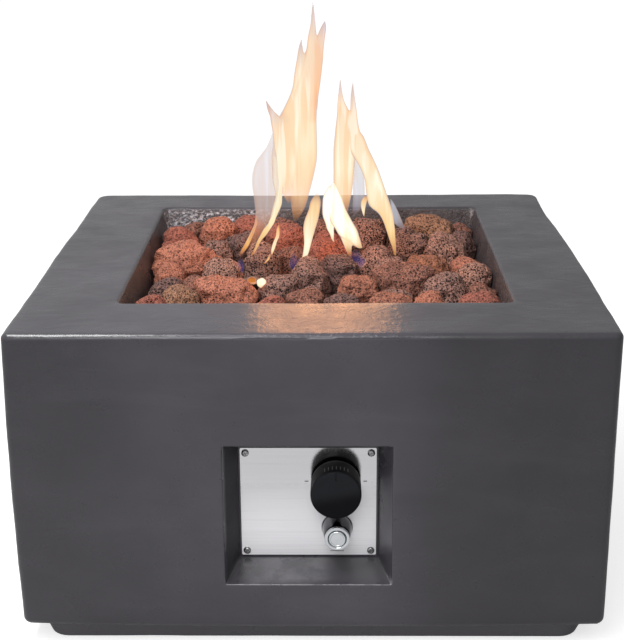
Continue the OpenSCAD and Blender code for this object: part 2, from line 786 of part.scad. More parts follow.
module valve_bonnet() {
    color([0.72, 0.66, 0.5]) on_knob() difference() {
        union() {
            translate([0, 0, valve_front]) slab(bonnet_w, bonnet_h, bonnet_t, 5);
            translate([0, 0, valve_front]) cylinder(d = nose_d, h = nose_out - valve_front);
        }
        translate([0, 0, valve_front - eps]) cylinder(d = stem_d + 2 * run_gap, h = bonnet_t + 20);
        for (x = [-1, 1]) translate([x * valve_pitch / 2, 0, valve_front - eps])
            cylinder(d = valve_screw_d, h = bonnet_t + 2 * eps);
        for (y = [-1, 1]) translate([0, y * bonnet_screw_r, valve_front - eps]) {
            cylinder(d = bonnet_screw_d + 2 * hole_gap, h = bonnet_t + 2 * eps);
            translate([0, 0, bonnet_t - 2.5 + eps]) cylinder(d = bonnet_screw_head + 0.5, h = 3 + eps);
        }
    }
}

module valve_screws() {
    color([0.7, 0.7, 0.72]) on_knob() for (x = [-1, 1]) translate([x * valve_pitch / 2, 0, 0])
        pan_screw(valve_screw_d, valve_screw_d * 1.8, 2.4, bonnet_t + panel_t + shield_t);
}

module bonnet_screws() {
    color([0.7, 0.7, 0.72]) on_knob() for (y = [-1, 1])
        translate([0, y * bonnet_screw_r, bonnet_front - 2.5])
            pan_screw(bonnet_screw_d, bonnet_screw_head, 2.2, bonnet_t + 5);
}

module valve_body() {
    color([0.7, 0.68, 0.62]) on_knob() difference() {
        union() {
            translate([0, 0, valve_rear]) cylinder(d = valve_d, h = valve_len);
            translate([0, 0, valve_rear]) cylinder(d = valve_d + 4, h = 8);
            translate([-boss_end, 0, inlet_at]) rotate([0, 90, 0]) cylinder(d = boss_d, h = boss_end);
            translate([0, 0, outlet_at]) rotate([0, 90, 0]) cylinder(d = boss_d - 2, h = boss_end);
        }
        translate([0, 0, valve_front - stem_cavity]) cylinder(d = stem_d + 2, h = stem_cavity + eps);
        for (y = [-1, 1]) translate([0, y * bonnet_screw_r, valve_front - 10])
            cylinder(d = bonnet_screw_d, h = 10 + eps);
        translate([-boss_end - eps, 0, inlet_at]) rotate([0, 90, 0]) cylinder(d = 8, h = 12);
        translate([boss_end - 12, 0, outlet_at]) rotate([0, 90, 0]) cylinder(d = pipe_d - 2, h = 12 + eps);
        translate([0, 0, valve_rear - eps]) cylinder(d = 14, h = magnet_plug + 1 + eps);
    }
}

module magnet_unit() {
    color("silver") on_knob() translate([0, 0, valve_rear]) {
        cylinder(d = 14 - 2 * fit_gap, h = magnet_plug);
        translate([0, 0, -magnet_len]) hex(magnet_hex, magnet_len);
        translate([0, 0, -magnet_len - 6]) cylinder(d = 8, h = 6.5);
    }
}

module valve_stem() {
    flat = stem_d / 2 - 1.5;
    color([0.75, 0.75, 0.76]) on_knob() difference() {
        translate([0, 0, stem_in]) cylinder(d = stem_d, h = stem_out - stem_in);
        translate([-stem_d, flat, hub_start]) cube([2 * stem_d, stem_d, stem_out]);
        translate([0, 0, circlip_at - 0.05]) difference() {
            cylinder(d = stem_d + 2, h = circlip_t + 0.1);
            translate([0, 0, -eps]) cylinder(d = stem_d - 1.6, h = 3);
        }
    }
}

module stem_circlip() {
    color([0.45, 0.45, 0.46]) on_knob() translate([0, 0, circlip_at]) difference() {
        cylinder(d = stem_d + 5, h = circlip_t);
        translate([0, 0, -eps]) cylinder(d = stem_d - 1.4, h = circlip_t + 2 * eps);
        translate([-stem_d * 0.3, 0, -eps]) cube([stem_d * 0.6, stem_d, circlip_t + 2 * eps]);
    }
}

module spring_seat() {
    color([0.6, 0.6, 0.62]) on_knob() translate([0, 0, spring_top]) difference() {
        cylinder(d = stem_d + 7, h = washer_t);
        translate([0, 0, -eps]) cylinder(d = stem_d + 2 * run_gap, h = washer_t + 2 * eps);
    }
}

module knob_spring() {
    color([0.55, 0.55, 0.57]) on_knob() translate([0, 0, nose_out + 0.1])
        coil_spring(stem_d / 2 + 1.6, 1.1, spring_top - nose_out - 0.2, 4);
}

// Moulded knob: a thin wall and face, a hub for the metal insert and four ribs
module gas_knob() {
    r = knob_d / 2;
    low = knob_lift;
    in = knob_out - 3;
    color([0.06, 0.06, 0.06]) on_knob() difference() {
        union() {
            rotate_extrude($fn = 96) polygon([
                [r - knob_wall - 1, low], [r, low], [r, low + 3], [r - 0.6, low + 3.6],
                [r - 1.2, knob_out - 3], [r - 1.8, knob_out - 1], [r - 3.2, knob_out],
                [r - 6, knob_out - 0.5], [0, knob_out - 1],
                [0, in], [r - knob_wall - 1, in]
            ]);
            translate([0, 0, hub_start]) cylinder(d = hub_d, h = in - hub_start + 0.5);
            for (a = [45:90:315]) rotate(a) translate([hub_d / 2 - 1, -1, hub_start + 4])
                cube([r - knob_wall - hub_d / 2 + 0.5, 2, in - hub_start - 3.5]);
        }
        translate([0, 0, hub_start - eps]) cylinder(d = insert_od, h = stem_out + 0.5 - hub_start + eps);
        translate([-0.9, r - 11, knob_out - 1.2]) cube([1.8, 12, 3]);
    }
}

module knob_insert() {
    color("goldenrod") on_knob() translate([0, 0, hub_start]) difference() {
        cylinder(d = insert_od - 2 * fit_gap, h = stem_out + 0.4 - hub_start);
        difference() {
            translate([0, 0, -eps]) cylinder(d = stem_d + 2 * fit_gap, h = stem_out + 1);
            translate([-stem_d, stem_d / 2 - 1.5 + fit_gap, -2]) cube([2 * stem_d, stem_d, stem_out + 4]);
        }
    }
}

module inlet_elbow() {
    low = inlet_hex_z - 10 - inlet_len;
    color([0.72, 0.62, 0.38]) translate([inlet_drop_x, inlet_y, 0]) difference() {
        union() {
            translate([0, 0, knob_z]) sphere(d = elbow_d);
            translate([0, 0, knob_z]) rotate([0, 90, 0]) cylinder(d = elbow_d - 2, h = elbow_d / 2 + 12);
            translate([0, 0, inlet_hex_z]) cylinder(d = elbow_d, h = knob_z - inlet_hex_z);
            translate([0, 0, inlet_hex_z - 10]) hex(elbow_d + 3, 10);
            translate([0, 0, low]) cylinder(d = inlet_d, h = inlet_len + 0.5);
        }
        translate([0, 0, low - eps]) cylinder(d = 8, h = knob_z - low + eps);
        translate([0, 0, knob_z]) rotate([0, 90, 0]) cylinder(d = 8, h = elbow_d + 20);
    }
}

module inlet_nut() {
    color("goldenrod") translate([knob_x - boss_end - 11, inlet_y, knob_z]) rotate([0, 90, 0]) difference() {
        hex(boss_d + 2, 10.7);
        translate([0, 0, -eps]) cylinder(d = elbow_d - 2 + 2 * fit_gap, h = 12);
    }
}

// Bent pipe in the level plane of the knob's axis: a pair of bends and three straight runs
module pipe_solid(d) {
    x0 = knob_x + boss_end;
    x1 = pipe_run_x;
    x2 = bowl_x + holder_boss;
    y0 = outlet_y;
    y1 = bowl_y;
    b = pipe_bend;
    translate([x0, y0, knob_z]) rotate([0, 90, 0]) cylinder(d = d, h = x1 - b - x0);
    translate([x1 - b, y0 + b, knob_z]) rotate(-90) rotate_extrude(angle = 90) translate([b, 0])
        circle(d = d);
    translate([x1, y0 + b, knob_z]) rotate([-90, 0, 0]) cylinder(d = d, h = y1 - y0 - 2 * b);
    translate([x1 - b, y1 - b, knob_z]) rotate_extrude(angle = 90) translate([b, 0]) circle(d = d);
    translate([x2, y1, knob_z]) rotate([0, 90, 0]) cylinder(d = d, h = x1 - b - x2);
}

module gas_pipe() {
    color([0.72, 0.45, 0.3]) difference() {
        pipe_solid(pipe_d);
        pipe_solid(pipe_d - 2);
    }
}

module pipe_nuts() {
    color("goldenrod") for (p = [[knob_x + boss_end, outlet_y], [bowl_x + holder_boss, bowl_y]])
        translate([p[0], p[1], knob_z]) rotate([0, 90, 0]) difference() {
            union() {
                hex(pipe_d + 6, pipe_nut_len - 3);
                cylinder(d = pipe_d + 4, h = pipe_nut_len);
            }
            translate([0, 0, -eps]) cylinder(d = pipe_d + 2 * fit_gap, h = pipe_nut_len + 2 * eps);
        }
}

module injector_holder() {
    color("goldenrod") on_burner() difference() {
        union() {
            translate([0, 0, knob_z - holder_h / 2]) hex(holder_hex, holder_h);
            translate([0, 0, knob_z]) rotate([0, 90, 0]) cylinder(d = 14, h = holder_boss);
        }
        translate([0, 0, knob_z]) rotate([0, 90, 0]) cylinder(d = 5, h = holder_boss + eps);
        translate([0, 0, knob_z]) cylinder(d = 5, h = holder_h);
    }
}

module injector_jet() {
    color("gold") on_burner() translate([0, 0, mixer_z]) difference() {
        union() {
            translate([0, 0, -7]) cylinder(d = 5 - 2 * fit_gap, h = 7.5);
            hex(7, 5);
            cylinder(d1 = 6, d2 = 4, h = 9);
        }
        translate([0, 0, -8]) cylinder(d = 1.2, h = 20);
    }
}

// Cast mixer: an air chamber with four windows, a throat and a socket for the nipple
module mixer_tube() {
    h = mixer_top - mixer_z;
    tube_h = h - socket_h;
    chamber_h = tube_h * 0.52;
    cone_h = tube_h * 0.65;
    throat_h = tube_h * 0.76;
    bore_r = nipple_d / 2 + fit_gap;
    color([0.62, 0.63, 0.64]) on_burner() translate([0, 0, mixer_z]) difference() {
        rotate_extrude() polygon([
            [jet_thread_d / 2, 0], [mixer_d / 2, 0], [mixer_d / 2, chamber_h],
            [throat_r + 4.5, cone_h], [throat_r + 3, throat_h], [bore_r + 2.8, tube_h], [bore_r + 2.8, h],
            [bore_r, h], [bore_r, tube_h], [throat_r + 1.5, tube_h], [throat_r, throat_h],
            [throat_r + 1.5, cone_h - mixer_wall], [mixer_d / 2 - mixer_wall, chamber_h - mixer_wall],
            [mixer_d / 2 - mixer_wall, 1.5 * mixer_wall], [jet_thread_d / 2, 1.5 * mixer_wall]
        ]);
        for (a = [45:90:315]) rotate(a) translate([0, -mixer_d / 5, tube_h * 0.17])
            cube([mixer_d, mixer_d * 0.4, tube_h * 0.24]);
    }
}

module burner_nipple() {
    color([0.6, 0.61, 0.62]) on_burner() translate([0, 0, nipple_low]) difference() {
        cylinder(d = nipple_d, h = nipple_top - nipple_low);
        translate([0, 0, -eps]) cylinder(d = nipple_d - 5, h = nipple_top - nipple_low + 2 * eps);
    }
}

module pan_lock_nuts() {
    color([0.6, 0.61, 0.62]) on_burner() for (z = [floor_z - pan_t - lock_nut_h, floor_z])
        translate([0, 0, z]) difference() {
            hex(lock_nut_hex, lock_nut_h);
            translate([0, 0, -eps]) cylinder(d = nipple_d + 2 * fit_gap, h = lock_nut_h + 2 * eps);
        }
}

module burner_hub() {
    color([0.62, 0.6, 0.58]) on_burner() difference() {
        translate([0, 0, hub_low]) cylinder(d = hub_outer_d, h = hub_high - hub_low);
        translate([0, 0, hub_low - eps]) cylinder(d = nipple_d + 2 * fit_gap, h = nipple_top - hub_low + eps);
        translate([0, 0, hub_low]) cylinder(d = 12, h = ring_z - hub_low);
        translate([-hub_outer_d, 0, ring_z]) rotate([0, 90, 0])
            cylinder(d = ring_d + 2 * fit_gap, h = 2 * hub_outer_d);
    }
}

module ring_solid(d) {
    rotate_extrude($fn = 96) translate([ring_r, 0]) circle(d = d, $fn = 32);
}

module burner_crossbar() {
    color([0.6, 0.58, 0.56]) on_burner() translate([0, 0, ring_z]) difference() {
        translate([-ring_r, 0, 0]) rotate([0, 90, 0]) cylinder(d = ring_d, h = 2 * ring_r);
        translate([-ring_r, 0, 0]) rotate([0, 90, 0]) cylinder(d = ring_d - 2 * ring_wall, h = 2 * ring_r);
        ring_solid(ring_d + 0.02);
        translate([0, 0, -ring_d]) cylinder(d = 10, h = ring_d);
        for (x = [-1, 1], k = [0:2]) translate([x * (30 + 18 * k), 0, 0]) cylinder(d = port_d, h = ring_d);
    }
}

module burner_ring() {
    color([0.6, 0.58, 0.56]) on_burner() translate([0, 0, ring_z]) difference() {
        ring_solid(ring_d);
        ring_solid(ring_d - 2 * ring_wall);
        for (k = [0:ring_ports - 1]) rotate(360 * (k + 0.5) / ring_ports) translate([ring_r, 0, 0])
            cylinder(d = port_d, h = ring_d);
        for (a = [0, 180]) rotate(a) rotate([0, 90, 0]) cylinder(d = ring_d * 0.55, h = ring_r);
    }
}

module burner_pan() {
    color([0.2, 0.2, 0.21]) on_burner() difference() {
        union() {
            translate([0, 0, ledge_z]) slab(flange_w, flange_d, pan_t, bowl_r);
            funnel(
                tray_w, tray_d, pan_flange_z, tray_w - 2 * tray_draft, tray_d - 2 * tray_draft,
                floor_z - pan_t, tray_r
            );
        }
        funnel(
            tray_w - 2 * pan_t, tray_d - 2 * pan_t, pan_flange_z + 0.02, tray_w - 2 * pan_t - 2 * tray_draft,
            tray_d - 2 * pan_t - 2 * tray_draft, floor_z, tray_r - pan_t
        );
        translate([0, 0, floor_z - 2 * pan_t]) cylinder(d = nipple_d + 2 * hole_gap, h = 3 * pan_t);
        for (a = [22.5:45:360]) rotate(a) translate([ring_r + 46, 0, floor_z - 2 * pan_t])
            cylinder(d = 10, h = 3 * pan_t);
        rotate(pilot_angle) translate([pilot_r, 0, floor_z - 2 * pan_t]) pilot_holes(3 * pan_t);
    }
}

module pilot_holes(h) {
    translate([0, -probe_side, 0]) cylinder(d = insulator_d + 2 * fit_gap, h = h);
    translate([0, probe_side, 0]) cylinder(d = probe_d + 2 * fit_gap, h = h);
    for (y = [-1, 1]) translate([pilot_deep / 2 + ear / 2, y * ear_screw_y, 0])
        cylinder(d = 4 + 2 * hole_gap, h = h);
}

// Folded bracket: a foot with two screw holes, a back and two cheeks, open towards the ring
module pilot_bracket() {
    w = pilot_w;
    color([0.72, 0.68, 0.62]) on_pilot() difference() {
        union() {
            translate([-pilot_deep / 2, -w / 2, 0]) cube([pilot_deep + ear, w, sheet_t]);
            translate([pilot_deep / 2 - sheet_t, -w / 2, 0]) cube([sheet_t, w, hood_h - 4]);
            for (y = [-w / 2, w / 2 - sheet_t]) translate([-pilot_deep / 2, y, 0])
                cube([pilot_deep, sheet_t, hood_h - 4]);
        }
        translate([0, 0, -eps]) pilot_holes(sheet_t + 2 * eps);
        for (y = [-1, 1]) translate([-pilot_deep / 2 - eps, y * w / 2, hood_h / 2 + 4]) rotate([0, 90, 0])
            cylinder(d = 9, h = pilot_deep / 2);
        translate([0, 0, hood_h * 0.62]) rotate([0, 90, 0]) cylinder(d = 14, h = pilot_deep);
    }
}

// Folded cap that sheds rock and rain from the spark gap
module pilot_hood() {
    w = pilot_w + 2 * sheet_t + 2 * fit_gap;
    color([0.72, 0.68, 0.62]) on_pilot() {
        translate([-pilot_deep / 2 - 7, -w / 2, hood_h - 4]) cube([pilot_deep + 7 + sheet_t, w, sheet_t]);
        for (y = [-w / 2, w / 2 - sheet_t]) translate([-pilot_deep / 2, y, hood_h - 14])
            cube([pilot_deep, sheet_t, 10.5]);
        translate([-pilot_deep / 2 - 7, -w / 2, hood_h - 10]) cube([sheet_t, w, 6.5]);
    }
}

module bracket_screws() {
    color([0.7, 0.7, 0.72]) on_pilot() for (y = [-1, 1])
        translate([pilot_deep / 2 + ear / 2, y * ear_screw_y, sheet_t]) pan_screw(4, 7, 2.4, 9);
}

module bracket_nuts() {
    color([0.7, 0.7, 0.72]) on_pilot() for (y = [-1, 1])
        translate([pilot_deep / 2 + ear / 2, y * ear_screw_y, -pan_t - 3.2]) difference() {
            hex(7, 3.2);
            translate([0, 0, -eps]) cylinder(d = 4, h = 4.2);
        }
}

module electrode_insulator() {
    color([0.95, 0.94, 0.9]) on_pilot() translate([0, -probe_side, 0]) difference() {
        union() {
            translate([0, 0, insulator_end]) cylinder(d = insulator_d, h = insulator_top - insulator_end);
            translate([0, 0, sheet_t + 0.1]) cylinder(d = insulator_d + 3, h = 5);
        }
        translate([0, 0, insulator_end - eps])
            cylinder(d = electrode_d, h = insulator_top - insulator_end + 2 * eps);
    }
}

module spark_electrode() {
    d = electrode_d - 2 * fit_gap;
    color([0.6, 0.58, 0.55]) on_pilot() translate([0, -probe_side, 0]) {
        translate([0, 0, electrode_end]) cylinder(d = d, h = electrode_top - electrode_end);
        translate([0, 0, electrode_top]) rotate([0, -90, 0]) cylinder(d = d, h = spark_reach);
        translate([0, 0, electrode_top]) sphere(d = d);
    }
}

module thermocouple_probe() {
    color([0.7, 0.6, 0.45]) on_pilot() translate([0, probe_side, 0]) {
        translate([0, 0, probe_low]) cylinder(d = probe_d, h = probe_top - probe_low);
        translate([0, 0, probe_top]) sphere(d = probe_d);
        translate([0, 0, sheet_t + 0.1]) cylinder(d = probe_d + 3, h = 4);
    }
}

module ignition_lead() {
    color([0.1, 0.1, 0.1]) tube_along(smooth(ignition_route, 4), 1.75, 8);
}

module lead_boots() {
    color([0.12, 0.12, 0.12]) {
        on_pilot() translate([0, -probe_side, electrode_low]) difference() {
            cylinder(d1 = 6, d2 = 8, h = 17.5);
            translate([0, 0, 8]) cylinder(d = electrode_d, h = 11);
        }
        on_igniter() translate([0, 5, housing_rear - boot_len - 0.5]) difference() {
            cylinder(d1 = 6, d2 = 8, h = boot_len);
            translate([-3.2, -0.5, 5]) cube([6.4, 1, 8]);
        }
    }
}

module thermocouple_nut() {
    color("goldenrod") on_knob() translate([0, 0, valve_rear - magnet_len - 6 - thermo_nut_len + 5])
        difference() {
            hex(11, thermo_nut_len);
            translate([0, 0, thermo_nut_len - 5]) cylinder(d = 8 + 2 * fit_gap, h = 6);
        }
}

module thermocouple_lead() {
    color([0.7, 0.42, 0.28]) tube_along(smooth(thermo_route, 4), 1.5, 8);
}

module igniter_bezel() {
    color([0.8, 0.8, 0.82]) on_igniter() rotate_extrude($fn = 96) polygon([
        [housing_d / 2 + 0.1, 0], [bezel_d / 2, 0], [bezel_d / 2, 1.6], [bezel_d / 2 - 1.4, 3.2],
        [cap_d / 2 + 1.6, housing_shoulder], [housing_d / 2 + 0.1, housing_shoulder]
    ]);
}

module igniter_cap() {
    front = housing_shoulder + shoulder_t;
    r = cap_d / 2;
    color([0.82, 0.82, 0.84]) on_igniter() rotate_extrude($fn = 96) polygon([
        [neck_d / 2 + fit_gap, front], [r, front], [r, cap_out - 5], [r - 0.5, cap_out - 4.6],
        [r - 0.5, cap_out - 4], [r, cap_out - 3.6], [r, cap_out - 1], [r - 1, cap_out],
        [button_d / 2 + 1.3, cap_out], [button_d / 2 + slide_gap, cap_out - 0.8],
        [button_d / 2 + slide_gap, cap_out - cap_wall], [neck_d / 2 + fit_gap, cap_out - cap_wall]
    ]);
}

module igniter_button() {
    r = button_d / 2;
    color([0.86, 0.86, 0.88]) on_igniter() rotate_extrude($fn = 96) polygon([
        [0, button_back], [neck_d / 2 - slide_gap, button_back],
        [neck_d / 2 - slide_gap, button_back + button_flange_t], [r, button_back + button_flange_t],
        [r, button_face - 1], [r - 1, button_face], [r - 2.2, button_face], [r - 2.6, button_face - 0.5],
        [0, button_face - 0.2]
    ]);
}

module button_spring() {
    color([0.6, 0.6, 0.62]) on_igniter() translate([0, 0, neck_out + 0.1])
        coil_spring(neck_d / 2 - 3, 0.9, button_back - neck_out - 0.2, 3);
}

module igniter_housing() {
    color([0.12, 0.12, 0.13]) on_igniter() difference() {
        union() {
            translate([0, 0, housing_rear]) cylinder(d = housing_d, h = housing_shoulder - housing_rear);
            translate([0, 0, housing_shoulder]) cylinder(d = cap_d, h = shoulder_t);
            translate([0, 0, housing_shoulder]) cylinder(d = neck_d, h = neck_out - housing_shoulder);
        }
        translate([0, 0, battery_rear - 5]) cylinder(d = battery_hole, h = neck_out - battery_rear + 6);
    }
}

module igniter_nut() {
    color([0.14, 0.14, 0.15]) on_igniter() translate([0, 0, -panel_t - igniter_nut_t]) difference() {
        hex(igniter_nut_hex, igniter_nut_t);
        translate([0, 0, -eps]) cylinder(d = housing_d + 2 * fit_gap, h = igniter_nut_t + 2 * eps);
    }
}

module igniter_battery() {
    color([0.2, 0.3, 0.5]) on_igniter() translate([0, 0, battery_rear]) {
        cylinder(d = battery_d, h = battery_len - 1.5);
        cylinder(d = 5.5, h = battery_len);
    }
}

module battery_spring() {
    color([0.7, 0.7, 0.72]) on_igniter() translate([0, 0, battery_rear - 4.9])
        coil_spring(4.5, 0.8, 4.8, 3);
}

module igniter_terminals() {
    color("gold") on_igniter() for (y = [-5, 5]) translate([-3.1, y - 0.4, housing_rear - 6.3])
        cube([6.2, 0.8, 6.2]);
}

// Rocks first to last - 1 of all_rocks, each with its own corners
module rock_set(first, count, around, rings) {
    for (i = [first:first + count - 1])
        polyhedron(points = rock_points(i, around, rings), faces = rock_faces(around, rings));
}

module rocks_front_left() {
    color([0.5, 0.32, 0.27]) rock_set(0, len(front_left), 12, 6);
}

module rocks_front_right() {
    color([0.48, 0.31, 0.26]) rock_set(len(front_left), len(front_right), 12, 6);
}

module rocks_middle() {
    color([0.4, 0.28, 0.25]) rock_set(len(front_left) + len(front_right), len(middle), 12, 6);
}

module rocks_back_left() {
    first = len(front_left) + len(front_right) + len(middle);
    color([0.5, 0.33, 0.28]) rock_set(first, len(back_left), 12, 6);
}

module rocks_back_right() {
    first = len(front_left) + len(front_right) + len(middle) + len(back_left);
    color([0.48, 0.33, 0.27]) rock_set(first, len(back_right), 12, 6);
}

module rocks_fill() {
    first = len(top_list) - len(fill);
    color([0.42, 0.3, 0.27]) rock_set(first, len(fill), 12, 6);
}

module rocks_base() {
    color([0.36, 0.26, 0.23]) rock_set(len(top_rocks), len(base_rocks), 8, 3);
}

body_shell();
panel_inserts();
control_panel();
panel_screws();
heat_shield();
valve_bonnet();
valve_screws();
bonnet_screws();
valve_body();
magnet_unit();
valve_stem();
stem_circlip();
spring_seat();
knob_spring();
gas_knob();
knob_insert();
inlet_elbow();
inlet_nut();
gas_pipe();
pipe_nuts();
injector_holder();
injector_jet();
mixer_tube();
burner_nipple();
pan_lock_nuts();
burner_hub();
burner_crossbar();
burner_ring();
burner_pan();
pilot_bracket();
pilot_hood();
bracket_screws();
bracket_nuts();
spark_electrode();
electrode_insulator();
ignition_lead();
lead_boots();
thermocouple_probe();
thermocouple_nut();
thermocouple_lead();
igniter_bezel();
igniter_cap();
igniter_button();
button_spring();
igniter_housing();
igniter_nut();
igniter_battery();
battery_spring();
igniter_terminals();
rocks_front_left();
rocks_front_right();
rocks_middle();
rocks_back_left();
rocks_back_right();
rocks_fill();
rocks_base();
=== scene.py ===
"""Looks of a square gas fire pit table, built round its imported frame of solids.

Metres, origin on the floor under the plan centre, +Z up, front face towards -Y.
"""

import contextlib
import json
import math

import bmesh
import bpy
import numpy as np
from mathutils import Matrix, Vector, noise


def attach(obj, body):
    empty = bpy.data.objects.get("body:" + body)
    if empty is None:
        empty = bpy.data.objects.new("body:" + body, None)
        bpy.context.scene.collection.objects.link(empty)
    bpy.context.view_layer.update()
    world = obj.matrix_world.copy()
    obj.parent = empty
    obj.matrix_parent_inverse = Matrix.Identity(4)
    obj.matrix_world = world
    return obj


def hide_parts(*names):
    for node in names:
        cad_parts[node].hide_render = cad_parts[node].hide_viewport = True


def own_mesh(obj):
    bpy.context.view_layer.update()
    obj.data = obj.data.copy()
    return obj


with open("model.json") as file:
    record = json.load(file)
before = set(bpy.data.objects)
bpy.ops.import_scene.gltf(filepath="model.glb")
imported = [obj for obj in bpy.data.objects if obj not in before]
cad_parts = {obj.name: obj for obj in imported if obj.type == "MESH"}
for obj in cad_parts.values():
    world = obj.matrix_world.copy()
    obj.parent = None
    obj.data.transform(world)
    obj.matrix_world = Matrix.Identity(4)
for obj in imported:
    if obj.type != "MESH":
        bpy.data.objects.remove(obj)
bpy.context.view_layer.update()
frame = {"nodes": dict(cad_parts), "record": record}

MM = 0.001

# Camera: place, angles in radians and lens in millimetres
CAMERA_AT = Vector((0.0257, -1.8154, 0.9041))
CAMERA_YAW = -0.0165
CAMERA_PITCH = 0.3179
CAMERA_ROLL = 0.0070
CAMERA_LENS = 76.38

# Light of the room: its colour and level, and how it changes to the right, the back and upwards
WORLD_COLOUR = (0.985, 0.985, 1.0)
WORLD_LEVEL = 0.70
WORLD_SLOPE = (-0.32, -0.18, 0.10)

# Backdrop as the camera sees it; floor: half its width, its albedo, and its own light on the
# object and to the eye
BACKDROP_LEVEL = 1.06
FLOOR_HALF = 9.0
FLOOR_ALBEDO = 0.55
FLOOR_GLOW = (0.02, 0.62)

# Flames: their brightness and colour in reflections, their thickness against their width, its
# limit and the least half width in millimetres, and the size of the grid that merges them
FLAME_GLOW = 5.3
FLAME_WARMTH = (1.0, 0.48, 0.235)
FLAME_THICKNESS = 0.85
FLAME_THICKEST = 15.0
THINNEST = 0.3
FLAME_VOXEL = 0.0011
# Sections between two rows of a flame, and points round each section
TONGUE_STEPS = 4
TONGUE_SIDES = 20

# Cast body
HALF = 0.3555
TOP = 0.406
EDGE_R = 0.007
LOW_EDGE_R = 0.009
FRONT_R = 0.010
BACK_R = 0.018
WALL = 0.013
SHARP_R = 0.001
RIM = 0.015
PLINTH_HALF = 0.3305
PLINTH_TOP = 0.030
PLINTH_R = 0.025
PLINTH_CHAMFER = 0.002

# Fire bowl: centre, half sizes at the mouth and at the ledge, levels
BOWL_AT = (0.004, 0.014)
MOUTH = (0.243, 0.247)
LEDGE = (0.228, 0.232)
WELL = (0.208, 0.212)
LEDGE_Z = 0.328
LEDGE_LOW = 0.314
BOWL_R = 0.012
WELL_R = 0.016
BOWL_WALL = 0.013
MOUTH_ROUND = 0.004

# Control recess and panel
RECESS_X = -0.005
RECESS_Z = 0.177
RECESS_HALF = (0.100, 0.090)
SEAT_Y = -0.304
SEAT_T = 0.014
SEAT_Z = 0.1725
SEAT_HALF = (0.085, 0.074)
WINDOW_HALF = (0.0685, 0.0575)
RECESS_ROUND = 0.0025
RECESS_R = 0.0015
CUT_SPARE = 0.02
SCREW_AT = (0.0765, 0.0655)
PANEL_Y = -0.3055
KNOB_AT = Vector((0.0285, PANEL_Y, 0.2005))
IGNITER_AT = Vector((0.030, PANEL_Y, 0.139))


def smoothstep(low, high, value):
    t = np.clip((value - low) / (high - low), 0.0, 1.0)
    return t * t * (3.0 - 2.0 * t)


def new_object(name, mesh):
    obj = bpy.data.objects.new(name, mesh)
    bpy.context.scene.collection.objects.link(obj)
    return obj


def mesh_object(name, points, faces):
    mesh = bpy.data.meshes.new(name)
    mesh.from_pydata([tuple(p) for p in points], [], faces)
    mesh.update()
    return new_object(name, mesh)


@contextlib.contextmanager
def editing(mesh):
    """An editable form of the mesh, written back when the block ends."""
    work = bmesh.new()
    work.from_mesh(mesh)
    yield work
    work.to_mesh(mesh)
    work.free()


def closed_object(name, points, faces):
    """Mesh object whose faces are all turned outwards."""
    obj = mesh_object(name, points, faces)
    with editing(obj.data) as work:
        bmesh.ops.recalc_face_normals(work, faces=work.faces)
    return obj


def coordinates(mesh, kind="co"):
    """Places of a mesh's points, or their normals."""
    flat = np.empty(len(mesh.vertices) * 3)
    mesh.vertices.foreach_get(kind, flat)
    return flat.reshape(-1, 3)


def set_coordinates(mesh, points):
    mesh.vertices.foreach_set("co", points.reshape(-1))
    mesh.update()


def modify(obj, kind, **settings):
    """Changes an object's mesh by a modifier."""
    modifier = obj.modifiers.new(kind, kind)
    for label, value in settings.items():
        setattr(modifier, label, value)
    graph = bpy.context.evaluated_depsgraph_get()
    mesh = bpy.data.meshes.new_from_object(obj.evaluated_get(graph))
    obj.modifiers.clear()
    obj.data = mesh


def even_out(obj, grain, rounds):
    """Gives an object a closed mesh of even grain, smoothed a number of times."""
    modify(obj, "REMESH", mode="VOXEL", voxel_size=grain)
    modify(obj, "SMOOTH", iterations=rounds)


def boolean(obj, other, operation="DIFFERENCE"):
    """Cuts another object away from this one, or adds it, and removes it."""
    modify(obj, "BOOLEAN", operation=operation, object=other, solver="EXACT")
    bpy.data.objects.remove(other)


def join(objects):
    """Joins objects into the first of them."""
    with bpy.context.temp_override(active_object=objects[0], selected_editable_objects=objects):
        bpy.ops.object.join()
    return objects[0]


def shade_by_angle(mesh, degrees):
    mesh.shade_smooth()
    mesh.set_sharp_from_angle(angle=math.radians(degrees))


def mark(mesh, name, values, kind="FLOAT", label="value"):
    """Keeps a number on each point for the finish, or a colour and a fourth number."""
    attribute = mesh.attributes.new(name, kind, "POINT")
    attribute.data.foreach_set(label, np.asarray(values, np.float32).reshape(-1))


def set_material(obj, material):
    obj.data.materials.clear()
    obj.data.materials.append(material)


def piece(obj, body, slot, *nodes, finish=None):
    """Gives a piece its finish, named by the slot unless another is given, puts it in its body and hides
    the nodes that it stands for.
    """
    set_material(obj, FINISHES[finish or slot])
    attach(obj, body)
    if nodes:
        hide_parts(*nodes)
    return obj


# Materials


class Nodes:
    """A tree of shader nodes that takes sockets and plain values alike."""

    def __init__(self, tree):
        self.tree = tree

    def feed(self, target, source):
        if isinstance(source, bpy.types.NodeSocket):
            self.tree.links.new(source, target)
        else:
            target.default_value = source

    def node(self, kind, feeds=(), **values):
        made = self.tree.nodes.new("ShaderNode" + kind)
        for label, value in values.items():
            setattr(made, label, value)
        for label, source in dict(feeds).items():
            self.feed(made.inputs[label], source)
        return made

    def maths(self, operation, first, second):
        return self.node("Math", {0: first, 1: second}, operation=operation).outputs["Value"]

    def times(self, first, second):
        return self.maths("MULTIPLY", first, second)

    def seen(self):
        """1 for what the camera itself sees, 0 for light on its way to other things."""
        return self.node("LightPath").outputs["Is Camera Ray"]


